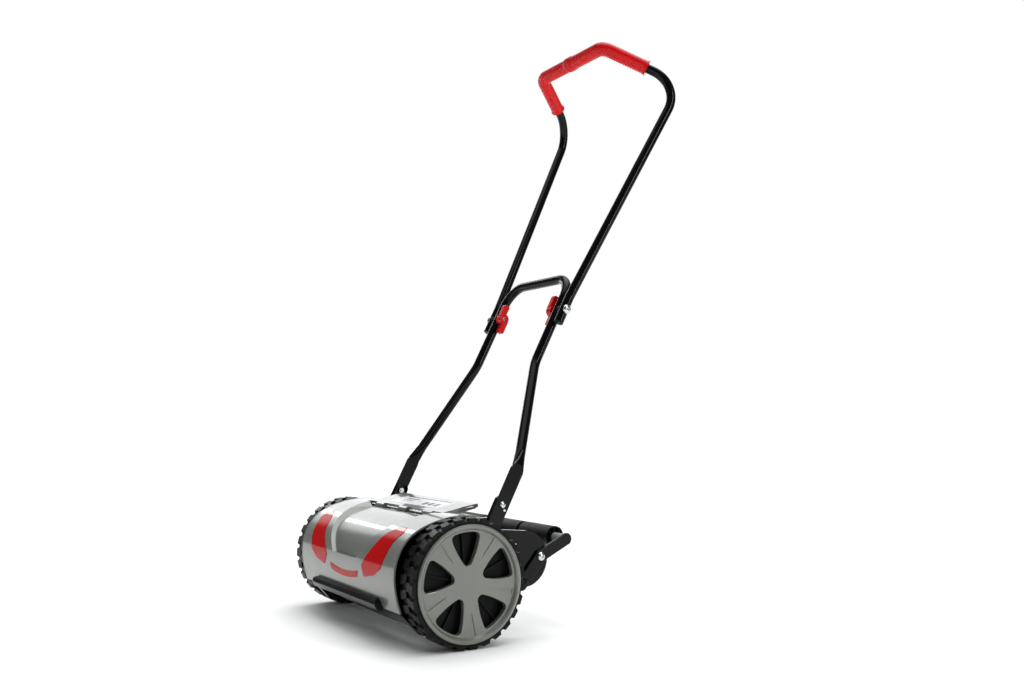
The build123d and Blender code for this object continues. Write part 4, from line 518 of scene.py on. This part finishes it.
thick = add(grip_sleeve, "GeometryNodeSetCurveRadius", {"Curve": run.outputs["Curve"], "Radius": girth})
kept = add(grip_sleeve, "GeometryNodeStoreNamedAttribute", {
    "Geometry": thick.outputs["Curve"], "Name": "along", "Value": along.outputs["Length"]},
    data_type="FLOAT", domain="POINT")
hoop = add(grip_sleeve, "GeometryNodeCurvePrimitiveCircle", {"Resolution": 44, "Radius": 1.0})
sleeve = add(grip_sleeve, "GeometryNodeCurveToMesh", {
    "Curve": kept.outputs["Geometry"], "Profile Curve": hoop.outputs["Curve"], "Fill Caps": True,
    "Scale": girth})
station = add(grip_sleeve, "GeometryNodeInputNamedAttribute", {"Name": "along"}, data_type="FLOAT")
outward = add(grip_sleeve, "GeometryNodeInputNormal").outputs["Normal"]
# The fingers close round the grip from below and a little from the front.
fingers = add(grip_sleeve, "ShaderNodeVectorMath", {
    0: outward, 1: (0.0, -0.45, -0.9)}, operation="DOT_PRODUCT")
finger_side = add(grip_sleeve, "ShaderNodeMapRange", {
    "Value": fingers.outputs["Value"], "From Min": 0.3, "From Max": 0.6}, interpolation_type="SMOOTHSTEP")
wave = math_of(grip_sleeve, "COSINE", math_of(
    grip_sleeve, "MULTIPLY", math_of(grip_sleeve, "DIVIDE", station.outputs["Attribute"], size["Rib Pitch"]),
    2 * math.pi))
valley = math_of(grip_sleeve, "MULTIPLY", math_of(grip_sleeve, "SUBTRACT", wave, 1.0), size["Rib Depth"])
sunk = math_of(grip_sleeve, "MULTIPLY", valley, finger_side.outputs["Result"])
push = add(grip_sleeve, "ShaderNodeVectorMath", {0: outward, "Scale": sunk}, operation="SCALE")
ribbed = add(grip_sleeve, "GeometryNodeSetPosition", {
    "Geometry": sleeve.outputs["Mesh"], "Offset": push.outputs["Vector"]})
end_tree(grip_sleeve, ribbed.outputs["Geometry"], soft_red)


def poly_curve(route):
    """A curve of straight runs through the points."""
    curve = bpy.data.curves.new("route", "CURVE")
    curve.dimensions = "3D"
    spline = curve.splines.new("POLY")
    spline.points.add(len(route) - 1)
    for spot, place in zip(spline.points, route):
        spot.co = (*place, 1.0)
    return curve


def bent_path(points, bend, steps=16):
    """A poly curve through three points with its middle corner turned into an arc."""
    first, corner, last = (Vector(point) for point in points)
    back, ahead = (first - corner).normalized(), (last - corner).normalized()
    half = back.angle(ahead) / 2
    run_in = bend / math.tan(half)
    hub = corner + (back + ahead).normalized() * (bend / math.sin(half))
    start, finish = corner + back * run_in - hub, corner + ahead * run_in - hub
    sweep = start.angle(finish)
    route = [first]
    for step in range(steps + 1):
        share = step / steps
        route.append(hub + (start * math.sin((1 - share) * sweep) + finish * math.sin(share * sweep))
                     / math.sin(sweep))
    route.append(last)
    return poly_curve(route)


# The right grip's line: from the middle to the handle's corner, then down its leg for 102 mm.
grip_start, grip_corner = Vector((0.0003, 0.404, 1.147)), Vector((0.110, 0.404, 1.147))
handle_shoulder = Vector((0.197, 0.540, 1.068))
grip_end = grip_corner + (handle_shoulder - grip_corner).normalized() * 0.102
corner_bend = 0.027
for side, sign in SIDES:
    turn_over = Matrix.Diagonal((sign, 1.0, 1.0))
    route = bent_path([turn_over @ point for point in (grip_start, grip_corner, grip_end)], corner_bend)
    grip = grown("grip_" + side + "_ribbed", route, grip_sleeve, {
        "Sleeve Radius": 0.0143, "Rib Pitch": 0.0052, "Rib Depth": 0.00055, "Collar Length": 0.0085,
        "Collar Rise": 0.0017, "Flare Length": 0.008, "Flare Rise": 0.0021})
    soften(grip, 50.0)
    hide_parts("grip_" + side)
    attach(grip, "upper_handle")

# ---------------------------------------------------------------------------------------------
# Domed screws.  Cold-headed steel with a hexagon recess.  On each side two zinc-plated ones hold the
# leg, one is the roller arm's pivot and one is the handle's bolt; the one that clamps the arm is
# blackened in a hot oxide bath, which leaves it dark with a dull metal shine.
black_oxide, tree = finish_named("black_oxide_steel")
close_material(tree, add(tree, "ShaderNodeBsdfPrincipled", {
    "Base Color": srgb("#1b1c1e"), "Metallic": 1.0, "Roughness": wear(tree, 220.0, 0.3, 0.42)}))


def screw_blank(name, head_radius, head_height, shank_radius, shank_length, recess):
    """One screw along +X: a dome with a hexagonal recess, and its shank behind X = 0."""
    corners, dome_rings = 24, 5
    recess_floor = 0.55 * head_height
    mouth = head_height * math.sqrt(1 - (recess / head_radius) ** 2)
    dome_start = recess * 1.12
    section = [(recess_floor, recess, True), (mouth, recess, True)]
    for step in range(1, dome_rings + 1):
        share = step / dome_rings
        radius = dome_start + (head_radius - dome_start) * math.sin(share * math.pi / 2)
        section.append((head_height * math.sqrt(max(0.0, 1 - (radius / head_radius) ** 2)), radius, False))
    section += [(0.0, shank_radius, False), (-shank_length, shank_radius, False)]
    build = bmesh.new()
    rings = []
    for x, radius, six_sided in section:
        ring = []
        for step in range(corners):
            angle = 2 * math.pi * step / corners
            reach = radius
            if six_sided:
                reach *= math.cos(math.pi / 6) / math.cos(angle % (math.pi / 3) - math.pi / 6)
            ring.append(build.verts.new((x, reach * math.cos(angle), reach * math.sin(angle))))
        rings.append(ring)
    for inner, outer in zip(rings, rings[1:]):
        for step in range(corners):
            after = (step + 1) % corners
            build.faces.new((inner[step], outer[step], outer[after], inner[after]))
    build.faces.new(rings[0])
    build.faces.new(rings[-1])
    bmesh.ops.recalc_face_normals(build, faces=build.faces)
    mesh = bpy.data.meshes.new(name)
    build.to_mesh(mesh)
    build.free()
    blank = bpy.data.objects.new(name, mesh)
    bpy.context.scene.collection.objects.link(blank)
    return blank


seated, size = sized_tree("seated_screws", ("Screw", "Finish"), {
    "Screw": "NodeSocketObject", "Finish": "NodeSocketMaterial"})
shape = add(seated, "GeometryNodeObjectInfo", {"Object": size["Screw"]})
# Screws face outwards: those on the right point along +X, those on the left are turned half round.
where = add(seated, "ShaderNodeSeparateXYZ", {
    "Vector": add(seated, "GeometryNodeInputPosition").outputs["Position"]})
on_left = math_of(seated, "LESS_THAN", where.outputs["X"], 0.0)
about = add(seated, "ShaderNodeCombineXYZ", {"Z": math_of(seated, "MULTIPLY", on_left, math.pi)})
placed = add(seated, "GeometryNodeInstanceOnPoints", {
    "Points": size["Geometry"], "Instance": shape.outputs["Geometry"], "Rotation": about.outputs["Vector"]})
end_tree(seated, placed.outputs["Instances"], size["Finish"])

domed_screws = (
    # node, body, slot and finish, then in mm: head radius and height, shank radius and length,
    # half the recess's width, and the seats on the right side
    ("leg_screws", "chassis", "chrome_screw", zinc,
     6.0, 3.0, 3.0, 14.0, 2.3, ((207.0, 98.0, 229.0), (207.0, 76.76, 188.2))),
    ("arm_pivot_screws", "chassis", "chrome_screw", zinc,
     8.0, 4.5, 4.0, 16.0, 3.2, ((209.0, 178.0, 134.0),)),
    ("handle_bolts", "chassis", "chrome_screw", zinc,
     9.0, 4.5, 4.0, 54.0, 3.4, ((142.0, 286.49, 592.67),)),
    ("arm_lock_screws", "roller_arms", "black_steel", black_oxide,
     6.5, 3.5, 3.0, 16.0, 2.6, ((208.5, 142.0, 92.0),)),
)
for node, body, slot, finish, *sizes, places in domed_screws:
    blank = screw_blank(node + "_blank", *(length / 1000 for length in sizes))
    spots = bpy.data.meshes.new("spots")
    seats = [(sign * x / 1000, y / 1000, z / 1000) for x, y, z in places for _, sign in SIDES]
    spots.from_pydata(seats, [], [])
    screws = grown(node + "_domed", spots, seated, {"Screw": blank, "Finish": finish})
    bpy.data.objects.remove(blank)
    soften(screws)
    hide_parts(node)
    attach(screws, body)

# ---------------------------------------------------------------------------------------------
# Hood edge beads.  The moulding turns over at each side of the hood in a thin painted bead, which
# stiffens the edge beside the wheel.
edge_bead, size = sized_tree("edge_bead", ("Bead Radius",))
hoop = add(edge_bead, "GeometryNodeCurvePrimitiveCircle", {"Resolution": 14, "Radius": size["Bead Radius"]})
bead = add(edge_bead, "GeometryNodeCurveToMesh", {
    "Curve": size["Geometry"], "Profile Curve": hoop.outputs["Curve"], "Fill Caps": True})
end_tree(edge_bead, bead.outputs["Mesh"], silver)

hood_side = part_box("hood")[1].x
side_band = 0.0002              # vertices this close to the hood's side lie on its edge
bead_radius, bead_proud = 0.0016, 0.0007
edge_points = {(round(v.co.y, 5), round(v.co.z, 5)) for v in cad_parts["hood"].data.vertices
               if v.co.x > hood_side - side_band}


def turning(first, middle, last):
    """Above zero where three (y, z) points turn to the left, below it where they turn to the right."""
    return ((middle[0] - first[0]) * (last[1] - first[1])
            - (middle[1] - first[1]) * (last[0] - first[0]))


def bulging(points):
    """Those of a row of (y, z) points that a taut line along its outside would touch."""
    kept = []
    for point in points:
        while len(kept) > 1 and turning(kept[-2], kept[-1], point) >= 0:
            kept.pop()
        kept.append(point)
    return kept


def outer_curve(points):
    """The outer side of a set of (y, z) points, in order from the front's foot over the top."""
    upper = bulging(sorted(points))
    rising = sorted(points, key=lambda point: (point[1], point[0]))
    front = bulging([point for point in rising if point[1] <= upper[0][1]])
    return front[:-1] + upper


edge_line = outer_curve(edge_points)
for side, sign in SIDES:
    route = []
    for number in range(1, len(edge_line) - 1):
        before, here, after = (Vector(point) for point in edge_line[number - 1:number + 2])
        run = (after - before).normalized()
        inwards = Vector((run.y, -run.x)) * (bead_radius - bead_proud)
        route.append((sign * (hood_side - bead_radius), here.x + inwards.x, here.y + inwards.y))
    trim = grown("hood_edge_bead_" + side, poly_curve(route), edge_bead, {"Bead Radius": bead_radius})
    soften(trim)
    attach(trim, "chassis")

# ---------------------------------------------------------------------------------------------
# The box round the finished model's visible pieces, the floor left out.
low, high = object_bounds()
